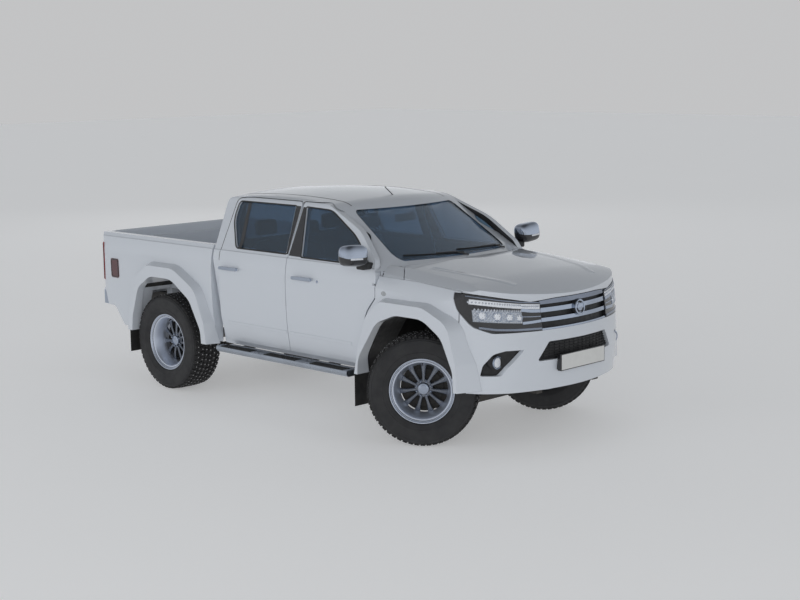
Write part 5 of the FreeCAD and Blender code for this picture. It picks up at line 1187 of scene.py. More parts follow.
@dataclass
class DeepDishRim:
    """Deep-dish alloy rim with tapered spokes, its hub and its brake, in place of the plain CAD rim. The
    brake and a ring round it are near black: painted shade inside the wheel.

    Profiles hold radius and distance outwards along the axle.

    Attributes:
        wheel: The wheel that it belongs to.
        spokes: Number of spokes.
        spoke_rows: Radius, width, half depth and face of a spoke, from the hub to the barrel.
        spoke_section: A spoke's section, its width and depth each from -1 to 1.
        barrel: Profile of the barrel and its lips.
        hub: Profile of the hub.
        brake: Profile of the brake, without its inner face.
        brake_inner: Distance of the inner face on a front and on a rear wheel.
        painted_shade_ring: Profile of the dark ring that closes the gap round the brake, a sheet of painted
            shade.
    """

    wheel: Wheel
    spokes: int = 11
    spoke_rows: tuple[tuple[float, float, float, float], ...] = (
        (0.060, 0.0270, 0.0150, 0.0340), (0.085, 0.0230, 0.0150, 0.0330), (0.120, 0.0250, 0.0140, 0.0310),
        (0.155, 0.0320, 0.0130, 0.0270), (0.178, 0.0400, 0.0120, 0.0220), (0.193, 0.0500, 0.0110, 0.0170),
    )
    spoke_section: tuple[Pair, ...] = (
        (-1.0, -0.6), (1.0, -0.6), (1.0, 0.55), (0.72, 0.85), (0.35, 1.0), (-0.35, 1.0), (-0.72, 0.85),
        (-1.0, 0.55),
    )
    barrel: tuple[Pair, ...] = (
        (0.2490, 0.1352), (0.2510, 0.1372), (0.2560, 0.1375), (0.2580, 0.1360), (0.2580, 0.1295),
        (0.2400, 0.1230), (0.2365, 0.1190), (0.2360, 0.0900), (0.2300, 0.0700), (0.2300, -0.0900),
        (0.2360, -0.1190), (0.2400, -0.1230), (0.2570, -0.1290), (0.2570, -0.1360), (0.2500, -0.1375),
        (0.2460, -0.1320), (0.2300, -0.1180), (0.2260, -0.0900), (0.2240, -0.0100), (0.2000, 0.0000),
        (0.1890, 0.0080), (0.1900, 0.0200), (0.1960, 0.0420), (0.2080, 0.0780), (0.2180, 0.1040),
        (0.2250, 0.1160), (0.2350, 0.1200), (0.2440, 0.1230),
    )
    hub: tuple[Pair, ...] = (
        (0.0000, 0.0120), (0.0420, 0.0280), (0.0470, 0.0300), (0.0660, 0.0290), (0.0720, 0.0240),
        (0.0750, 0.0120), (0.0750, -0.0100), (0.0320, -0.0110), (0.0300, 0.0100), (0.0000, 0.0110),
    )
    brake: tuple[Pair, ...] = (
        (0.060, -0.012), (0.100, -0.012), (0.104, -0.014), (0.150, -0.014), (0.152, -0.016),
    )
    brake_inner: Pair = (-0.036, -0.060)
    painted_shade_ring: tuple[Pair, ...] = ((0.150, -0.024), (0.188, -0.024), (0.188, -0.028), (0.150, -0.028))

    def spoke(self, bm: BMesh) -> None:
        """Adds one spoke, tapered in width and depth and stepped down towards the barrel."""
        basis = Matrix(((0, 0, 1), (1, 0, 0), (0, 1, 0))).to_4x4()
        stations = []
        for radius, width, depth, face in self.spoke_rows:
            size = Matrix.Diagonal((width / 2, depth, 1, 1))
            stations.append(Matrix.Translation((radius, 0, face - depth)) @ basis @ size)
        add_swept(bm, stations, self.spoke_section)

    def build(self) -> None:
        """Builds the rim, hub and brake."""
        where, body, place = self.wheel.where, self.wheel.body, self.wheel.place
        dish = bmesh.new()
        add_lathe(dish, self.barrel, 96, place, closed=True)
        item = make_piece(dish, f"rim_dish_{where}", ALLOY, body)
        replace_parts(item, f"rim_{where}")
        star = bmesh.new()
        self.spoke(star)
        repeat_round(star, self.spokes)
        bmesh.ops.transform(star, matrix=place, verts=star.verts)
        add_lathe(star, self.hub, 64, place)
        make_piece(star, f"rim_spokes_{where}", SPOKE, body)
        # Brake and ring in near-black underseal: painted shade behind the spokes, darker than the grey of
        # cast iron.
        brake = bmesh.new()
        inner = self.brake_inner[0 if self.wheel.front else 1]
        back = ((0.152, inner + 0.002), (0.150, inner), (0.060, inner))
        add_lathe(brake, self.brake + back, 72, place, closed=True)
        add_lathe(brake, self.painted_shade_ring, 72, place, closed=True)
        make_piece(brake, f"brake_rotor_painted_shade_{where}", UNDERSEAL, body)


def build_wheels() -> None:
    """Builds the four tyres with their rims and hubs."""
    for label, side in SIDES:
        for front in (True, False):
            if front:
                outward = Vector((-side * math.sin(FRONT_STEER), side * math.cos(FRONT_STEER), 0))
                centre = Vector((FRONT_AXLE_X, side * PIVOT_Y, AXLE_HEIGHT)) + outward * PIVOT_TO_WHEEL
            else:
                outward = Vector((0, side, 0))
                centre = Vector((REAR_AXLE_X, side * REAR_WHEEL_Y, AXLE_HEIGHT))
            wheel = Wheel(label, front, centre, outward)
            StuddedTyre(wheel).build()
            DeepDishRim(wheel).build()
            HubTrim(wheel).build()


# Trim laid on the body

def lay_strip(bm: BMesh, find: Find, points: Sequence[Pair],
              section: Sequence[Pair], closed: bool = False, spacing: float = 0.03,
              sink: float = 0.0006) -> None:
    """Sweeps a section along a line on a surface.

    Args:
        bm: Mesh to add to.
        find: Gives the surface's point and normal at two coordinates.
        points: The line's corners, in those coordinates.
        section: Section of the strip, its second coordinate out of the surface.
        closed: Joins the line's ends.
        spacing: Longest step along the line.
        sink: How deep the section's zero lies under the surface.
    """
    found = [hit for hit in (find(*point) for point in divided(points, spacing, closed)) if hit]
    if len(found) > 1:
        add_swept(bm, stations_on(found, closed, sink), section, closed)


def lay_patch(bm: BMesh, find: Find, corners: Sequence[Pair], steps: tuple[int, int], height: float) -> None:
    """Lays a thin closed panel on a surface.

    Args:
        bm: Mesh to add to.
        find: Gives the surface's point and normal at two coordinates.
        corners: Four corners, in order round the panel.
        steps: Steps along the first and the second side.
        height: Height of its face over the surface.
    """
    a, b, c, d = (Vector(corner) for corner in corners)
    rows = []
    for i in range(steps[0] + 1):
        near, far = a.lerp(b, i / steps[0]), d.lerp(c, i / steps[0])
        row = []
        for j in range(steps[1] + 1):
            hit = find(*near.lerp(far, j / steps[1]))
            if hit is None:
                return
            place, normal = hit
            row.append((bm.verts.new(place + normal * height), bm.verts.new(place - normal * PATCH_SINK)))
        rows.append(row)
    faces = []
    for low, high in zip(rows, rows[1:]):
        for k in range(steps[1]):
            faces.append(bm.faces.new((low[k][0], high[k][0], high[k + 1][0], low[k + 1][0])))
            faces.append(bm.faces.new((low[k][1], low[k + 1][1], high[k + 1][1], high[k][1])))
    rim = [row[0] for row in rows] + list(rows[-1][1:]) + [row[-1] for row in rows[-2::-1]] + rows[0][-2:0:-1]
    for one, two in zip(rim, rim[1:] + rim[:1]):
        faces.append(bm.faces.new((one[0], one[1], two[1], two[0])))
    bmesh.ops.recalc_face_normals(bm, faces=faces)


def add_disc(bm: BMesh, hit: Hit, profile: Sequence[Pair],
             steps: int = 40) -> None:
    """Turns a profile about a surface's normal, standing on the surface."""
    place, normal = hit
    add_lathe(bm, profile, steps, Matrix.Translation(place) @ turned_to(normal))


@dataclass
class Pad:
    """One upholstered pad: a crowned closed form with sewn channels.

    Attributes:
        size: Length along X, width along Y and thickness along Z of the pad's own frame.
        place: Where that frame goes.
        crown: Share of the thickness that the middle stands up by.
        pull: How far its sides pull in between the corners.
        across: Places of sewn channels across the pad, from -1 to 1 along X.
        along: Places of sewn channels along the pad, from -1 to 1 along Y.
        cuts: Cuts along each side of the form.
        power: How square its corners are.
        seam: Half width of a channel, in the same measure as its place, and its depth.
    """

    size: Point
    place: Matrix
    crown: float = 0.16
    pull: float = 0.025
    across: tuple[float, ...] = ()
    along: tuple[float, ...] = ()
    cuts: int = 22
    power: float = 7.0
    seam: Pair = (0.035, 0.009)

    def point(self, u: float, v: float, w: float) -> Vector:
        """Moves a point of a cube onto the pad."""
        norm = (abs(u) ** self.power + abs(v) ** self.power + abs(w) ** self.power) ** (1 / self.power)
        u, v, w = u / norm, v / norm, w / norm
        x = self.size[0] / 2 * u * (1 - self.pull * (1 - v * v))
        y = self.size[1] / 2 * v * (1 - self.pull * (1 - u * u))
        rise = (1 - u * u) * (1 - v * v)
        z = self.size[2] / 2 * w * (1 - self.crown + self.crown * rise)
        if w > 0.2:
            width, depth = self.seam
            sewn = sum(math.exp(-((u - place) / width) ** 2) for place in self.across)
            sewn += sum(math.exp(-((v - place) / width) ** 2) for place in self.along)
            z -= depth * min(sewn, 1.0)
        return self.place @ Vector((x, y, z))

    def add(self, bm: BMesh) -> None:
        """Adds the pad to a mesh."""
        made = bmesh.ops.create_cube(bm, size=2.0)["verts"]
        edges = list({edge for vert in made for edge in vert.link_edges})
        known = set(bm.verts) - set(made)
        bmesh.ops.subdivide_edges(bm, edges=edges, cuts=self.cuts, use_grid_fill=True)
        for vert in bm.verts:
            if vert not in known:
                vert.co = self.point(*vert.co)


@dataclass(frozen=True)
class Strip:
    """A low moulding: its line on a surface, its width and its height."""

    line: tuple[Pair, ...]
    width: float
    height: float


@dataclass
class Headlamps:
    """Insides of the headlamps and fog lamps, laid on their dark housings.

    A place is a distance from the truck's middle and a height. A cell has a radius as well, and its parts'
    profiles hold shares of that radius. Crystals fill the bowl in rows, and beads stand in one line over it,
    which turns up at the bend. A rise is for each metre outwards.
    """

    skin: Skin
    upper_light: Strip = Strip(((0.405, 1.124), (0.560, 1.139), (0.700, 1.159), (0.850, 1.184)), 0.038, 0.006)
    chrome: tuple[Strip, ...] = (
        Strip(((0.402, 0.960), (0.600, 0.966), (0.740, 0.974), (0.820, 0.990)), 0.018, 0.006),
        Strip(((0.402, 1.154), (0.560, 1.170), (0.700, 1.192), (0.860, 1.226)), 0.010, 0.006),
        Strip(((0.402, 1.090), (0.500, 1.108)), 0.016, 0.006),
    )
    corner: tuple[Pair, ...] = ((0.872, 1.190), (0.985, 1.204), (0.985, 1.246), (0.872, 1.226))
    bowl: tuple[Pair, ...] = ((0.556, 1.012), (0.842, 1.034), (0.842, 1.122), (0.556, 1.098))
    bars: tuple[Strip, ...] = (
        Strip(((0.402, 1.092), (0.480, 1.098), (0.560, 1.112)), 0.026, 0.007),
        Strip(((0.402, 1.018), (0.480, 1.014), (0.556, 1.012)), 0.024, 0.007),
        Strip(((0.402, 1.052), (0.470, 1.054), (0.548, 1.060)), 0.007, 0.005),
    )
    cells: tuple[Point, ...] = (
        (0.800, 1.080, 0.037), (0.722, 1.071, 0.037), (0.646, 1.062, 0.035), (0.578, 1.054, 0.030),
    )
    reflector: tuple[Pair, ...] = (
        (1.0, -0.004), (1.0, 0.003), (0.93, 0.0055), (0.80, 0.0045), (0.74, -0.004),
    )
    projector: tuple[Pair, ...] = (
        (0.76, -0.003), (0.70, 0.002), (0.52, 0.0055), (0.26, 0.0078), (0.0, 0.0086),
    )
    crystal: tuple[Pair, ...] = ((0.0098, -0.002), (0.0098, 0.0022), (0.0, 0.0095))
    crystal_grid: tuple[int, int] = (7, 18)
    crystal_start: Pair = (0.562, 1.020)
    crystal_step: Pair = (0.0158, 0.0142)
    crystal_shift: float = 0.006
    crystal_rise: float = 0.080
    bead: tuple[Pair, ...] = ((0.0094, 0.001), (0.0094, 0.0066), (0.0, 0.0120))
    beads: int = 30
    bead_start: Pair = (0.412, 1.1255)
    bead_step: float = 0.0152
    bead_bend: float = 0.56
    bead_rise: Pair = (0.085, 0.128)
    fog_place: Pair = (0.724, 0.722)
    fog_ring: tuple[Pair, ...] = (
        (0.050, -0.006), (0.050, 0.003), (0.046, 0.006), (0.041, 0.004), (0.040, -0.006),
    )
    fog_lens: tuple[Pair, ...] = ((0.041, -0.004), (0.036, 0.003), (0.022, 0.0065), (0.0, 0.0085))

    def lay(self, bm: BMesh, side: float, *strips: Strip) -> None:
        """Lays strips on one headlamp's face."""
        for strip in strips:
            line = [(side * y, z) for y, z in strip.line]
            lay_strip(bm, self.skin.front, line, flat_strip(strip.width, strip.height))

    def panel(self, bm: BMesh, side: float, corners: Sequence[Pair], steps: tuple[int, int],
              height: float) -> None:
        """Lays a panel on one headlamp's face."""
        lay_patch(bm, self.skin.front, [(side * y, z) for y, z in corners], steps, height)

    def crystals(self, bm: BMesh, side: float) -> None:
        """Small pyramids that fill the lamp's bowl and the strip above it like cut glass."""
        rows, columns = self.crystal_grid
        places = []
        first_y, first_z = self.crystal_start
        step_y, step_z = self.crystal_step
        for row in range(rows):
            for column in range(columns):
                y = first_y + column * step_y + (row % 2) * self.crystal_shift
                z = first_z + row * step_z + (y - self.bowl[0][0]) * self.crystal_rise
                places.append((y, z, self.crystal))
        first_y, first_z = self.bead_start
        for column in range(self.beads):
            y = first_y + column * self.bead_step
            rise = self.bead_rise[0 if y < self.bead_bend else 1]
            places.append((y, first_z + (y - first_y) * rise, self.bead))
        for y, z, profile in places:
            hit = self.skin.front(side * y, z)
            if hit:
                add_disc(bm, hit, profile, 4)

    def cell_rings(self, side: float) -> tuple[BMesh, BMesh]:
        """Models one lamp's bright rings and their lenses."""
        rings, lenses = bmesh.new(), bmesh.new()
        for y, z, radius in self.cells:
            hit = self.skin.front(side * y, z)
            if hit is None:
                continue
            add_disc(rings, hit, [(radius * share, height) for share, height in self.reflector])
            add_disc(lenses, hit, [(radius * share, height) for share, height in self.projector])
        return rings, lenses

    def fog_lamp(self, label: str, side: float) -> None:
        """Builds one round fog lamp's bezel and lens."""
        hit = self.skin.front(side * self.fog_place[0], self.fog_place[1])
        if hit is None:
            return
        ring, lens = bmesh.new(), bmesh.new()
        add_disc(ring, hit, self.fog_ring, 48)
        add_disc(lens, hit, self.fog_lens, 48)
        make_piece(ring, f"fog_lamp_bezel_{label}", CHROME)
        make_piece(lens, f"fog_lamp_lens_{label}", LIGHT_GUIDE)

    def build(self) -> None:
        """Builds both lamps' pieces."""
        for label, side in SIDES:
            upper = bmesh.new()
            self.lay(upper, side, self.upper_light)
            make_piece(upper, f"headlamp_upper_light_{label}", LIGHT_GUIDE)
            chrome = bmesh.new()
            self.lay(chrome, side, *self.chrome)
            self.panel(chrome, side, self.corner, (8, 3), 0.0030)
            make_piece(chrome, f"headlamp_chrome_{label}", DARK_CHROME)
            bowl = bmesh.new()
            self.panel(bowl, side, self.bowl, (14, 4), 0.0022)
            make_piece(bowl, f"headlamp_bowl_{label}", SATIN)
            rings, lenses = self.cell_rings(side)
            self.lay(rings, side, *self.bars)
            glass = bmesh.new()
            self.crystals(glass, side)
            make_piece(glass, f"headlamp_crystals_{label}", CUT_GLASS)
            make_piece(rings, f"headlamp_reflectors_{label}", CHROME)
            make_piece(lenses, f"headlamp_projectors_{label}", LIGHT_GUIDE)
            self.fog_lamp(label, side)


@dataclass
class GrilleTrim:
    """Plain ring on the grille, intake slats and the plate's frame.

    The intake has the height of its foot, its half width there, and what that loses for each metre upwards.
    """

    skin: Skin
    ring_height: float = 1.082
    ring: tuple[Pair, ...] = (
        (0.060, -0.004), (0.060, 0.002), (0.056, 0.0055), (0.050, 0.0055), (0.046, 0.002), (0.046, -0.004),
    )
    disc: tuple[Pair, ...] = ((0.032, -0.003), (0.030, 0.0025), (0.016, 0.0045), (0.0, 0.005))
    slats: int = 6
    slat_foot: float = 0.726
    slat_step: float = 0.022
    intake: Point = (0.712, 0.455, 0.70)
    posts: int = 7
    post_step: float = 0.052
    post_band: Pair = (0.722, 0.842)
    frame: tuple[tuple[Point, Point], ...] = (
        ((2.585, -0.272, 0.7405), (2.6195, 0.272, 0.751)),
        ((2.585, -0.272, 0.621), (2.6195, 0.272, 0.6315)),
        ((2.585, -0.272, 0.626), (2.6195, -0.2625, 0.746)),
        ((2.585, 0.2625, 0.626), (2.6195, 0.272, 0.746)),
    )

    def build(self) -> None:
        """Builds the nose's trim."""
        hit = self.skin.front(0.0, self.ring_height)
        ring = bmesh.new()
        add_disc(ring, hit, self.ring, 64)
        add_disc(ring, hit, self.disc, 48)
        make_piece(ring, "grille_plain_ring", CHROME)
        slats = bmesh.new()
        foot, half_foot, taper = self.intake
        for index in range(self.slats):
            z = self.slat_foot + index * self.slat_step
            half = half_foot - (z - foot) * taper
            lay_strip(slats, self.skin.front, [(-half, z), (half, z)], flat_strip(0.006, 0.010), spacing=0.05)
        for index in range(-self.posts, self.posts + 1):
            line = [(index * self.post_step, z) for z in self.post_band]
            lay_strip(slats, self.skin.front, line, flat_strip(0.004, 0.006))
        make_piece(slats, "intake_slats", BLACK_PLASTIC)
        frame = bmesh.new()
        for low, high in self.frame:
            add_box(frame, low, high, 0.002)
        make_piece(frame, "plate_frame", BLACK_GLOSS)


@dataclass(frozen=True)
class DoorTrim:
    """Seal, pillar bands and moulding of a front or a rear door, placed in side view.

    Attributes:
        place: Which door it is, front or rear.
        window: Outline of its window, each corner with its radius.
        bands: Corners, steps and height of each gloss black panel on the pillars.
        moulding: Where the moulding along the door's foot starts and ends.
        key: Place of the key's cover, or None.
    """

    place: str
    window: tuple[Corner, ...]
    bands: tuple[tuple[tuple[Pair, ...], tuple[int, int], float], ...]
    moulding: Pair
    key: Pair | None = None
    seal_growth: float = 1.022
    moulding_height: float = 0.722
    cover: tuple[Pair, ...] = ((0.0125, -0.001), (0.0125, 0.001), (0.0105, 0.0018), (0.0, 0.0020))

    def build(self, nodes: Nodes, label: str, side: float) -> None:
        """Builds the trim of one side's door."""
        where, body = f"{self.place}_{label}", f"{self.place}_door_{label}"
        find = Skin([nodes[f"door_{where}"], nodes[f"glass_{where}"]]).beside(side)
        line = rounded(self.window, 8)
        middle = Vector((sum(x for x, _ in line) / len(line), sum(z for _, z in line) / len(line)))
        wide = [tuple(middle + (Vector(point) - middle) * self.seal_growth) for point in line]
        seal = bmesh.new()
        lay_strip(seal, find, wide, flat_strip(0.013, 0.0022), closed=True)
        make_piece(seal, f"window_seal_{where}", BLACK_PLASTIC, body)
        band = bmesh.new()
        for corners, steps, height in self.bands:
            lay_patch(band, find, corners, steps, height)
        make_piece(band, f"pillar_band_{where}", BLACK_GLOSS, body)
        moulding = bmesh.new()
        ends = [(x, self.moulding_height) for x in self.moulding]
        lay_strip(moulding, find, ends, flat_strip(0.026, 0.0035), spacing=0.06)
        make_piece(moulding, f"door_moulding_{where}", PAINT, body)
        if self.key:
            cover = bmesh.new()
            add_disc(cover, find(*self.key), self.cover, 28)
            make_piece(cover, f"door_key_cover_{label}", CHROME, body)


DOOR_TRIMS = (
    DoorTrim(
        "front",
        ((0.372, 1.374, 0.016), (0.272, 1.766, 0.016), (0.590, 1.756, 0.26), (0.945, 1.576, 0.6),
         (1.176, 1.372, 0.024)),
        ((((0.2145, 1.372), (0.368, 1.370), (0.270, 1.766), (0.2320, 1.768)), (6, 8), 0.0012),),
        (0.226, 0.985),
        (0.600, 1.190),
    ),
    DoorTrim(
        "rear",
        ((0.176, 1.386, 0.016), (0.136, 1.768, 0.016), (-0.596, 1.768, 0.046), (-0.612, 1.620, 0.2),
         (-0.480, 1.386, 0.06)),
        ((((0.180, 1.382), (0.1995, 1.380), (0.1995, 1.772), (0.140, 1.772)), (3, 8), 0.0012),
         (((-0.455, 1.386), (-0.412, 1.386), (-0.455, 1.766), (-0.498, 1.766)), (3, 10), 0.0020)),
        (-0.585, 0.190),
    ),
)


@dataclass
class CabTrim:
    """Door trim, wipers, roof strips, brake lamp and side reflectors.

    Each wiper has its pivot's and far end's distance from the middle and its pivot end's height. The ditch
    is in plan, the brake lamp in rear view and the reflector's place in side view.
    """

    nodes: Nodes
    wipers: tuple[Point, ...] = ((0.60, 0.00, 1.402), (0.04, -0.55, 1.398))
    blade: tuple[Pair, ...] = (
        (-0.004, -0.006), (0.004, -0.006), (0.0055, 0.002), (0.002, 0.007), (-0.002, 0.007), (-0.0055, 0.002),
    )
    ditch: tuple[Pair, ...] = ((-0.690, 0.560), (0.420, 0.545), (0.640, 0.560))
    brake_lamp: tuple[Pair, ...] = ((-0.13, 1.766), (0.13, 1.766), (0.13, 1.790), (-0.13, 1.790))
    reflector_place: Pair = (1.372, 1.170)
    reflector: tuple[Pair, ...] = ((1.0, -0.02), (0.94, 0.05), (0.6, 0.12), (0.0, 0.16))
    reflector_size: Point = (0.028, 0.019, 0.02)

    def wiper_pair(self) -> None:
        """Two wipers parked along the foot of the windscreen."""
        skin = Skin([self.nodes["cab_glass"], self.nodes["cab_shell"]])
        arms, blades = bmesh.new(), bmesh.new()
        steps = 12
        for pivot, far, low in self.wipers:
            hits = [skin.front(pivot - 0.02 + (far - pivot) * step / steps, low + 0.020 * step / steps)
                    for step in range(steps + 1)]
            row = [(hit[0] + hit[1] * 0.008, hit[1]) for hit in hits if hit]
            add_swept(blades, stations_on(row, False), self.blade)
            root = skin.front(pivot, 1.392)[0] + Vector((0.020, 0.0, -0.006))
            near, middle = (row[step][0] + row[step][1] * 0.012 for step in (2, 6))
            add_rod(arms, root, near, 0.009, 12, 0.006)
            add_rod(arms, near, middle, 0.006, 12, 0.004)
            add_rod(arms, root - Vector((0, 0, 0.020)), root + Vector((0, 0, 0.010)), 0.015, 20, 0.012)
        make_piece(arms, "wiper_arms", BLACK_GLOSS)
        make_piece(blades, "wiper_blades", FLAP)

    def roof(self) -> None:
        """Dark strips in the roof's ditches and the brake lamp over the back window."""
        skin = Skin([self.nodes["cab_shell"]])
        ditch = bmesh.new()
        for _, side in SIDES:
            line = [(x, side * y) for x, y in self.ditch]
            lay_strip(ditch, skin.top, line, flat_strip(0.009, 0.0016), spacing=0.05)
        make_piece(ditch, "roof_ditch_strips", BLACK_PLASTIC)
        lamp = bmesh.new()
        lay_patch(lamp, skin.back, self.brake_lamp, (10, 2), 0.006)
        make_piece(lamp, "high_brake_lamp", RED_LENS)

    def reflectors(self) -> None:
        """Small grey reflectors on the wings, ahead of the front doors."""
        skin = Skin([self.nodes["front_wings"]])
        for label, side in SIDES:
            place, normal = skin.side(*self.reflector_place, side)
            turn = Matrix.Translation(place) @ turned_to(normal)
            lens = bmesh.new()
            add_lathe(lens, self.reflector, 32, turn @ Matrix.Diagonal((*self.reflector_size, 1.0)))
            make_piece(lens, f"side_reflector_{label}", GREY_LENS)

    def build(self) -> None:
        """Builds the cab's trim."""
        for label, side in SIDES:
            for trim in DOOR_TRIMS:
                trim.build(self.nodes, label, side)
        self.wiper_pair()
        self.roof()
        self.reflectors()


@dataclass
class BonnetCreases:
    """Two soft raised creases on the bonnet, from the screen towards the lamps, the line in plan."""

    skin: Skin
    line: tuple[Pair, ...] = ((1.62, 0.640), (1.90, 0.600), (2.15, 0.550), (2.34, 0.480))
    section: tuple[Pair, ...] = (
        (-0.060, -0.0010), (0.030, -0.0010), (0.022, 0.0012), (0.012, 0.0042), (0.003, 0.0058),
        (-0.008, 0.0056), (-0.026, 0.0036), (-0.044, 0.0014), (-0.060, 0.0),
    )

    def build(self) -> None:
        """Builds both creases as one piece of the bonnet."""
        bm = bmesh.new()
        for _, side in SIDES:
            section = [(across * side, high) for across, high in self.section][::int(side)]
            line = [(x, side * y) for x, y in self.line]
            lay_strip(bm, self.skin.top, line, section, spacing=0.04, sink=0.0010)
        make_piece(bm, "bonnet_creases", PAINT, "bonnet")


@dataclass
class WingCorner:
    """Painted shelf in each wing's rear corner, behind and under the bonnet's cut corner.

    The shelf follows the nose's surface. A drop is how far it lies under that surface.

    Attributes:
        drop: Drop where the bonnet covers the shelf.
        level: Drop behind the bonnet's cut, where the shelf is seen.
        edge_drop: Drop along the wing's edge.
        rows: Distances of the shelf's rows from the middle. The last one is the wing's edge.
        covered_y: Distance up to which the bonnet covers a row over its whole length.
        start: Distance that the pillar's foot ends at, and where rows start inside and outside it.
        cut: Where the bonnet's cut lies, the distance that it turns at, and its slope from there.
        shoulder: Distance from the middle and height of the nose's shoulder line.
    """

    drop: float = 0.028
    level: float = 0.003
    edge_drop: float = 0.0015
    rows: tuple[float, ...] = (0.690, 0.715, 0.738, 0.742, 0.765, 0.790, 0.815, 0.840, 0.860, 0.8775, 0.8790)
    covered_y: float = 0.74
    start: Point = (0.85, 1.262, 1.314)
    cut: Point = (1.436, 0.75, 0.923)
    gap: float = 0.009
    shoulder: tuple[Pair, ...] = ((0.598, 1.440), (0.750, 1.405), (0.866, 1.348), (0.940, 1.222))
    thickness: float = 0.0016

    def height(self, x: float, y: float) -> float:
        """Height of the nose's surface at a place in plan."""
        ahead = x - 1.0
        bonnet = 1.416 - 0.0162 * ahead - 0.0479 * ahead ** 2 - y * y / 15.2
        shoulder = self.shoulder[0][1]
        for (near, high), (far, low) in zip(self.shoulder, self.shoulder[1:]):
            if near <= y <= far:
                shoulder = high + (low - high) * (y - near) / (far - near)
        return min(bonnet, shoulder - 0.08 * (x - 0.9))

    def stations(self, y: float) -> list[Pair]:
        """Places of a row along the truck, each with the shelf's depth."""
        on_edge = y == self.rows[-1]
        low = self.start[1] if y < self.start[0] else self.start[2]
        cut = self.cut[0] + max(y - self.cut[1], 0.0) * self.cut[2]
        near = cut - self.gap
        deep = self.edge_drop if on_edge else self.drop
        shallow = self.drop if y < self.covered_y else self.edge_drop if on_edge else self.level
        behind = [(low + (near - low) * step / 8, shallow) for step in range(9)]
        return behind + [(near + 0.0005, deep), (cut + 0.012, deep), (max(1.470, cut + 0.030), deep)]

    def build(self) -> None:
        """Builds both shelves."""
        for label, side in SIDES:
            bm = bmesh.new()
            grid = [[bm.verts.new((x, side * y, self.height(x, y) - depth)) for x, depth in self.stations(y)]
                    for y in self.rows]
            faces = [bm.faces.new((a[k], a[k + 1], b[k + 1], b[k]))
                     for a, b in zip(grid, grid[1:]) for k in range(len(a) - 1)]
            bmesh.ops.recalc_face_normals(bm, faces=faces)
            if faces[0].normal.z < 0:
                bmesh.ops.reverse_faces(bm, faces=faces)
            make_piece(bm, f"wing_corner_{label}", PAINT, thicken=self.thickness)


@dataclass
class MirrorTrim:
    """Rounded housing, foot, glass and indicator of each door mirror, in place of its plain CAD form.

    Places are those of the left mirror. The glass is in rear view and the indicator in front view.
    """

    centre: Point = (1.172, 1.0575, 1.466)
    size: Point = (0.158, 0.232, 0.170)
    split_z: float = 1.462
    split_normal: Point = (0.12, 0, 1)
    foot: tuple[Point, Point] = ((1.122, 0.872, 1.345), (1.212, 0.985, 1.398))
    glass: tuple[Pair, ...] = ((0.970, 1.412), (1.146, 1.412), (1.146, 1.518), (0.970, 1.518))
    indicator: tuple[Pair, ...] = ((1.030, 1.444), (1.150, 1.450))

    def half(self, side: float, upper: bool) -> BMesh:
        """Upper or lower part of the housing, cut from one rounded closed form."""
        x, y, z = self.centre
        lean = Matrix.Rotation(math.radians(-6), 4, "Y") @ Matrix.Rotation(math.radians(side * 5), 4, "X")
        place = Matrix.Translation((x, side * y, z)) @ lean
        bm = bmesh.new()
        Pad(self.size, place, crown=0.0, pull=0.0, cuts=18, power=3.6).add(bm)
        bmesh.ops.bisect_plane(bm, geom=all_of(bm), plane_co=(x, side * y, self.split_z),
                               plane_no=self.split_normal, clear_inner=upper, clear_outer=not upper)
        return bm

    def build(self) -> None:
        """Builds both mirrors' pieces."""
        for label, side in SIDES:
            body = f"front_door_{label}"
            cap = make_piece(self.half(side, True), f"mirror_cap_{label}", CHROME, body)
            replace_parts(cap, f"mirror_{label}")
            lower = self.half(side, False)
            shell = make_piece(lower, f"mirror_shell_{label}", BLACK_GLOSS, body)
            foot = bmesh.new()
            (x, near, z), (x_end, far, z_end) = self.foot
            low, high = sorted((side * near, side * far))
            add_box(foot, (x, low, z), (x_end, high, z_end), 0.012, 3)
            make_piece(foot, f"mirror_foot_{label}", BLACK_PLASTIC, body)
            skin = Skin([cap, shell])
            glass = bmesh.new()
            lay_patch(glass, skin.back, [(side * y, z) for y, z in self.glass], (8, 6), 0.001)
            make_piece(glass, f"mirror_glass_{label}", MIRROR_GLASS, body)
            strip = bmesh.new()
            line = [(side * y, z) for y, z in self.indicator]
            lay_strip(strip, skin.front, line, flat_strip(0.014, 0.003), spacing=0.012)
            make_piece(strip, f"mirror_indicator_{label}", LIGHT_GUIDE, body)


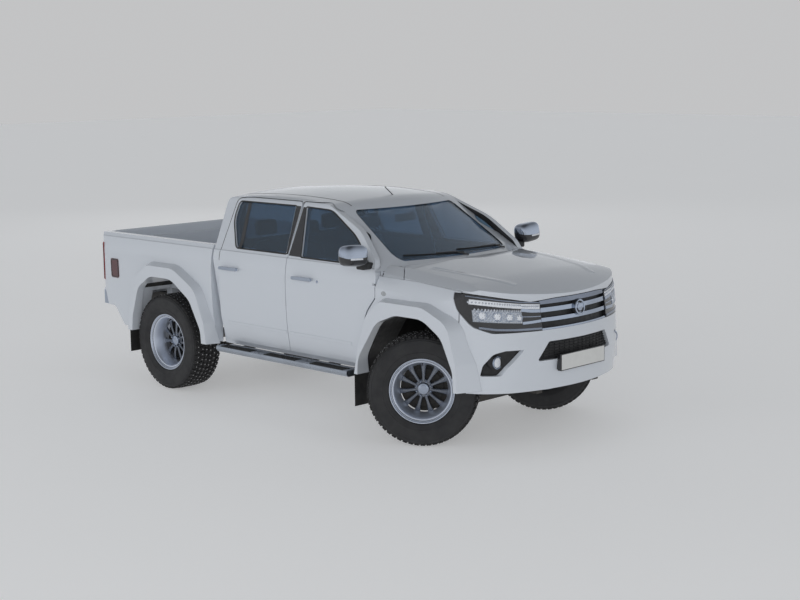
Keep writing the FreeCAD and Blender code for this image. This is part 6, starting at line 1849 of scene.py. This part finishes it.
@dataclass
class BedTrim:
    """Black strips along the rails' inner edges for their dark gaps and painted shadow, floor ribs, tail-lamp
    frames and the tailgate's handle.

    Rails are in plan, and ribs lie on each side of a middle one. The reflector is in side view, and the
    handle's cup and grip are in rear view.
    """

    nodes: Nodes
    # Lines of the black strips along the rails: partly the dark gap there, partly painted shadow.
    rail_gap_shadows: tuple[tuple[Pair, Pair], ...] = (
        ((-0.84, -0.792), (-2.46, -0.792)), ((-0.84, 0.792), (-2.46, 0.792)),
        ((-0.808, -0.780), (-0.808, 0.780)),
    )
    ribs: int = 4
    rib_step: float = 0.108
    rib_ends: Pair = (-0.86, -2.42)
    frame_heights: tuple[float, ...] = (0.945, 1.055, 1.165, 1.275)
    frame_back: Pair = (0.798, 0.880)
    frame_side: Pair = (-2.500, -2.436)
    frame_edge: Pair = (0.940, 1.280)
    reflector: tuple[Corner, ...] = (
        (-2.300, 0.976, 0.02), (-2.300, 1.138, 0.02), (-2.197, 1.138, 0.02), (-2.197, 0.976, 0.02),
    )
    cup: tuple[Pair, ...] = ((-0.13, 1.235), (0.13, 1.235), (0.13, 1.300), (-0.13, 1.300))
    grip: tuple[Pair, ...] = ((-0.105, 1.272), (0.105, 1.272))

    def lamp_frames(self) -> None:
        """Black frames on both tail lamps and round their side reflectors."""
        skin = Skin([self.nodes["tail_lamps"]])
        level = flat_strip(0.009, 0.004)
        frames = bmesh.new()
        for _, side in SIDES:
            beside = skin.beside(side)
            for z in self.frame_heights:
                lay_strip(frames, skin.back, [(side * y, z) for y in self.frame_back], level, spacing=0.02)
            for z in self.frame_heights:
                lay_strip(frames, beside, [(x, z) for x in self.frame_side], level, spacing=0.02)
            edge = [(self.frame_side[1], z) for z in self.frame_edge]
            lay_strip(frames, beside, edge, flat_strip(0.008, 0.004), spacing=0.06)
            lay_strip(frames, beside, rounded(self.reflector, 4), flat_strip(0.006, 0.003), closed=True)
        make_piece(frames, "tail_lamp_frames", BLACK_GLOSS)

    def build(self) -> None:
        """Builds the load bed's trim."""
        skin = Skin([self.nodes["bed"]])
        rail_gap_shadows, ribs = bmesh.new(), bmesh.new()
        # Black strips on the rails' inner edges: partly the real gap there, partly painted shadow.
        for line in self.rail_gap_shadows:
            lay_strip(rail_gap_shadows, skin.top, line, flat_strip(0.020, 0.003), spacing=0.12)
        make_piece(rail_gap_shadows, "bed_rail_gap_shadow_strips", BLACK_PLASTIC)
        for index in range(-self.ribs, self.ribs + 1):
            line = [(x, index * self.rib_step) for x in self.rib_ends]
            lay_strip(ribs, skin.top, line, flat_strip(0.052, 0.007), spacing=0.4)
        make_piece(ribs, "bed_floor_ribs", PAINT)
        self.lamp_frames()
        gate = Skin([self.nodes["tailgate"]])
        cup, grip = bmesh.new(), bmesh.new()
        lay_patch(cup, gate.back, self.cup, (8, 3), 0.0015)
        make_piece(cup, "tailgate_handle_cup", BLACK_GLOSS, "tailgate")
        lay_strip(grip, gate.back, self.grip, flat_strip(0.024, 0.012))
        make_piece(grip, "tailgate_handle_grip", CHROME, "tailgate")


@dataclass
class StepPads:
    """Ribbed rubber pads on the side steps, three to a step."""

    starts: Point = (-0.60, -0.02, 0.56)
    length: float = 0.40
    ribs: int = 7
    inner_y: float = 0.914
    step: float = 0.0125
    width: float = 0.0075
    band: Pair = (0.5150, 0.5205)

    def build(self) -> None:
        """Builds the pads as one piece."""
        pads = bmesh.new()
        low_z, high_z = self.band
        for _, side in SIDES:
            for start in self.starts:
                for index in range(self.ribs):
                    y = self.inner_y + index * self.step
                    low_y, high_y = sorted((side * y, side * (y + self.width)))
                    add_box(pads, (start, low_y, low_z), (start + self.length, high_y, high_z), 0.0012, 1)
        make_piece(pads, "side_step_pads", FLAP)


# Seats and cabin

def upright(x: float, y: float, z: float, recline: float) -> Matrix:
    """Frame of a squab: its X axis up the back, its Z axis towards the sitter."""
    up = Vector((-math.sin(recline), 0, math.cos(recline)))
    face = Vector((math.cos(recline), 0, math.sin(recline)))
    across = face.cross(up)
    return Matrix.Translation((x, y, z)) @ Matrix((up, across, face)).transposed().to_4x4()


def pad_piece(pads: Sequence[Pad], name: str, finish: Finish) -> bpy.types.Object:
    """Makes one cushion from pads that are sewn together."""
    bm = bmesh.new()
    for pad in pads:
        pad.add(bm)
    item = make_piece(bm, name, finish, subdivide=1)
    return item


@dataclass
class Seats:
    """Two front seats and a rear bench, each with a shell, cushion, squab, bolsters and restraints.

    A pad's size is its length, width and thickness. The front squab has its place forward, its height and its
    recline. A post has its distance from the restraint's middle and its radius.
    """

    front_y: float = 0.370
    floor: float = 0.636
    cushion: Point = (0.50, 0.34, 0.13)
    squab: Point = (0.56, 0.33, 0.105)
    bolster: Point = (0.50, 0.095, 0.15)
    squab_bolster: Point = (0.54, 0.095, 0.125)
    front_squab: Point = (-0.052, 1.140, 0.30)
    rear_cushion: Point = (0.43, 1.22, 0.15)
    rear_squab: Point = (0.54, 1.20, 0.105)
    headrest: Point = (0.145, 0.250, 0.085)
    post: Pair = (0.060, 0.006)
    rear_y: float = 0.400

    def front(self, label: str, y: float) -> bpy.types.Object:
        """Builds one front seat. Returns its cushion."""
        x, z, recline = self.front_squab
        back = upright(x, y, z, recline)
        seat = Pad(self.cushion, Matrix.Translation((0.305, y, 0.832)), across=(-0.4, 0.1, 0.6))
        cushion = pad_piece([seat], f"front_seat_cushion_{label}", SEAT_CLOTH)
        sides = [Pad(self.bolster, Matrix.Translation((0.300, y + way * 0.199, 0.828)), crown=0.1)
                 for way in (-1, 1)]
        sides += [Pad(self.squab_bolster, back @ Matrix.Translation((0.0, way * 0.190, 0.012)), crown=0.1)
                  for way in (-1, 1)]
        pad_piece(sides, f"front_seat_bolsters_{label}", SEAT_SIDE)
        pad_piece([Pad(self.squab, back, across=(-0.45, 0.0, 0.45))], f"front_seat_squab_{label}", SEAT_CLOTH)
        self.restraint(f"front_{label}", (-0.118, y, 1.535), 0.12)
        base = bmesh.new()
        rail_top = self.floor + 0.034
        add_box(base, (0.060, y - 0.225, self.floor + 0.030), (0.520, y + 0.225, 0.776), 0.020, 3)
        add_box(base, (0.040, y - 0.205, self.floor), (0.500, y - 0.170, rail_top), 0.004)
        add_box(base, (0.040, y + 0.170, self.floor), (0.500, y + 0.205, rail_top), 0.004)
        make_piece(base, f"front_seat_base_{label}", CABIN_PLASTIC)
        return cushion

    def restraint(self, name: str, place: Point, lean: float) -> None:
        """Builds one head restraint on two posts."""
        x, y, z = place
        pad = Pad(self.headrest, upright(x, y, z, lean), crown=0.25, pull=0.06, power=4.0)
        pad_piece([pad], f"head_restraint_{name}", SEAT_SIDE)
        posts = bmesh.new()
        reach, radius = self.post
        for way in (-1, 1):
            foot = (x + 0.004, y + way * reach, z - 0.130)
            add_rod(posts, foot, (x, y + way * reach, z - 0.040), radius)
        make_piece(posts, f"head_restraint_posts_{name}", CHROME)

    def rear(self) -> bpy.types.Object:
        """Builds the rear bench. Returns its cushion."""
        seams = (-0.36, 0.36)
        seat = Pad(self.rear_cushion, Matrix.Translation((-0.385, 0, 0.815)), along=seams, across=(0.1,),
                   crown=0.1, pull=0.01)
        cushion = pad_piece([seat], "rear_seat_cushion", SEAT_CLOTH)
        back = Pad(self.rear_squab, upright(-0.585, 0, 1.140, 0.14), along=seams, across=(-0.3, 0.3),
                   crown=0.1, pull=0.01)
        pad_piece([back], "rear_seat_squab", SEAT_CLOTH)
        for label, side in SIDES:
            self.restraint(f"rear_{label}", (-0.646, side * self.rear_y, 1.510), 0.08)
        base = bmesh.new()
        add_box(base, (-0.590, -0.600, self.floor), (-0.215, 0.600, 0.752), 0.015, 3)
        make_piece(base, "rear_seat_base", CABIN_PLASTIC)
        return cushion

    def build(self) -> None:
        """Builds every seat in place of its CAD node."""
        for label, side in SIDES:
            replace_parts(self.front(label, side * self.front_y), "front_seats")
        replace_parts(self.rear(), "rear_seat")


@dataclass
class CabinTrim:
    """Display, vents, gear lever, rear-view mirror and wheel boss, boxes by their two far corners."""

    display: tuple[Point, Point] = ((0.800, -0.105, 1.125), (0.820, 0.105, 1.250))
    vents: tuple[float, ...] = (-0.690, -0.170, 0.170, 0.690)
    vent_x: Pair = (0.800, 0.820)
    vent_half: float = 0.050
    slats: int = 5
    slat_foot: float = 1.150
    slat_step: float = 0.018
    slat_height: float = 0.006
    lever: tuple[Point, Point] = ((0.560, 0.0, 0.990), (0.535, 0.0, 1.085))
    knob: tuple[Pair, ...] = (
        (0.0, 0.052), (0.014, 0.050), (0.021, 0.038), (0.022, 0.018), (0.013, 0.0), (0.0, -0.002),
    )
    mirror: tuple[Point, Point] = ((0.700, -0.120, 1.620), (0.724, 0.120, 1.685))
    hub: Point = (0.640, 0.370, 1.130)
    tilt: float = math.radians(25)
    boss: tuple[Pair, ...] = ((0.062, -0.006), (0.060, 0.004), (0.040, 0.014), (0.0, 0.018))

    def build(self) -> None:
        """Builds the cabin's trim."""
        screen = bmesh.new()
        add_box(screen, *self.display, 0.006, 3)
        make_piece(screen, "dash_display", DISPLAY)
        vents = bmesh.new()
        near, far = self.vent_x
        for y in self.vents:
            for index in range(self.slats):
                z = self.slat_foot + index * self.slat_step
                low, high = (near, y - self.vent_half, z), (far, y + self.vent_half, z + self.slat_height)
                add_box(vents, low, high, 0.001, 1)
        make_piece(vents, "dash_vent_slats", SATIN)
        lever = bmesh.new()
        add_rod(lever, *self.lever, 0.010, 16, 0.007)
        add_lathe(lever, self.knob, 24, Matrix.Translation((0.537, 0.0, 1.075)))
        make_piece(lever, "gear_lever", BLACK_GLOSS)
        mirror = bmesh.new()
        add_box(mirror, *self.mirror, 0.010, 3)
        add_rod(mirror, (0.724, 0.0, 1.655), (0.800, 0.0, 1.712), 0.008, 12)
        make_piece(mirror, "rear_view_mirror", BLACK_GLOSS)
        boss = bmesh.new()
        axis = Vector((-math.cos(self.tilt), 0, math.sin(self.tilt)))
        add_lathe(boss, self.boss, 40, Matrix.Translation(Vector(self.hub) + axis * 0.004) @ turned_to(axis))
        make_piece(boss, "steering_wheel_boss", CABIN_PLASTIC, "steering_wheel")


# Running order

def main() -> None:
    """Builds the truck's looks in order."""
    logging.basicConfig(level=logging.INFO, format="%(message)s")
    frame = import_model()
    nodes = frame["nodes"]
    Studio().build()
    FrameDresser(nodes).build()
    build_wheels()
    Headlamps(Skin([nodes["front_lamps"]])).build()
    GrilleTrim(Skin([nodes["grille"]])).build()
    CabTrim(nodes).build()
    BonnetCreases(Skin([nodes["bonnet"]])).build()
    WingCorner().build()
    MirrorTrim().build()
    BedTrim(nodes).build()
    StepPads().build()
    Seats().build()
    CabinTrim().build()


if __name__ == "__main__":
    main()
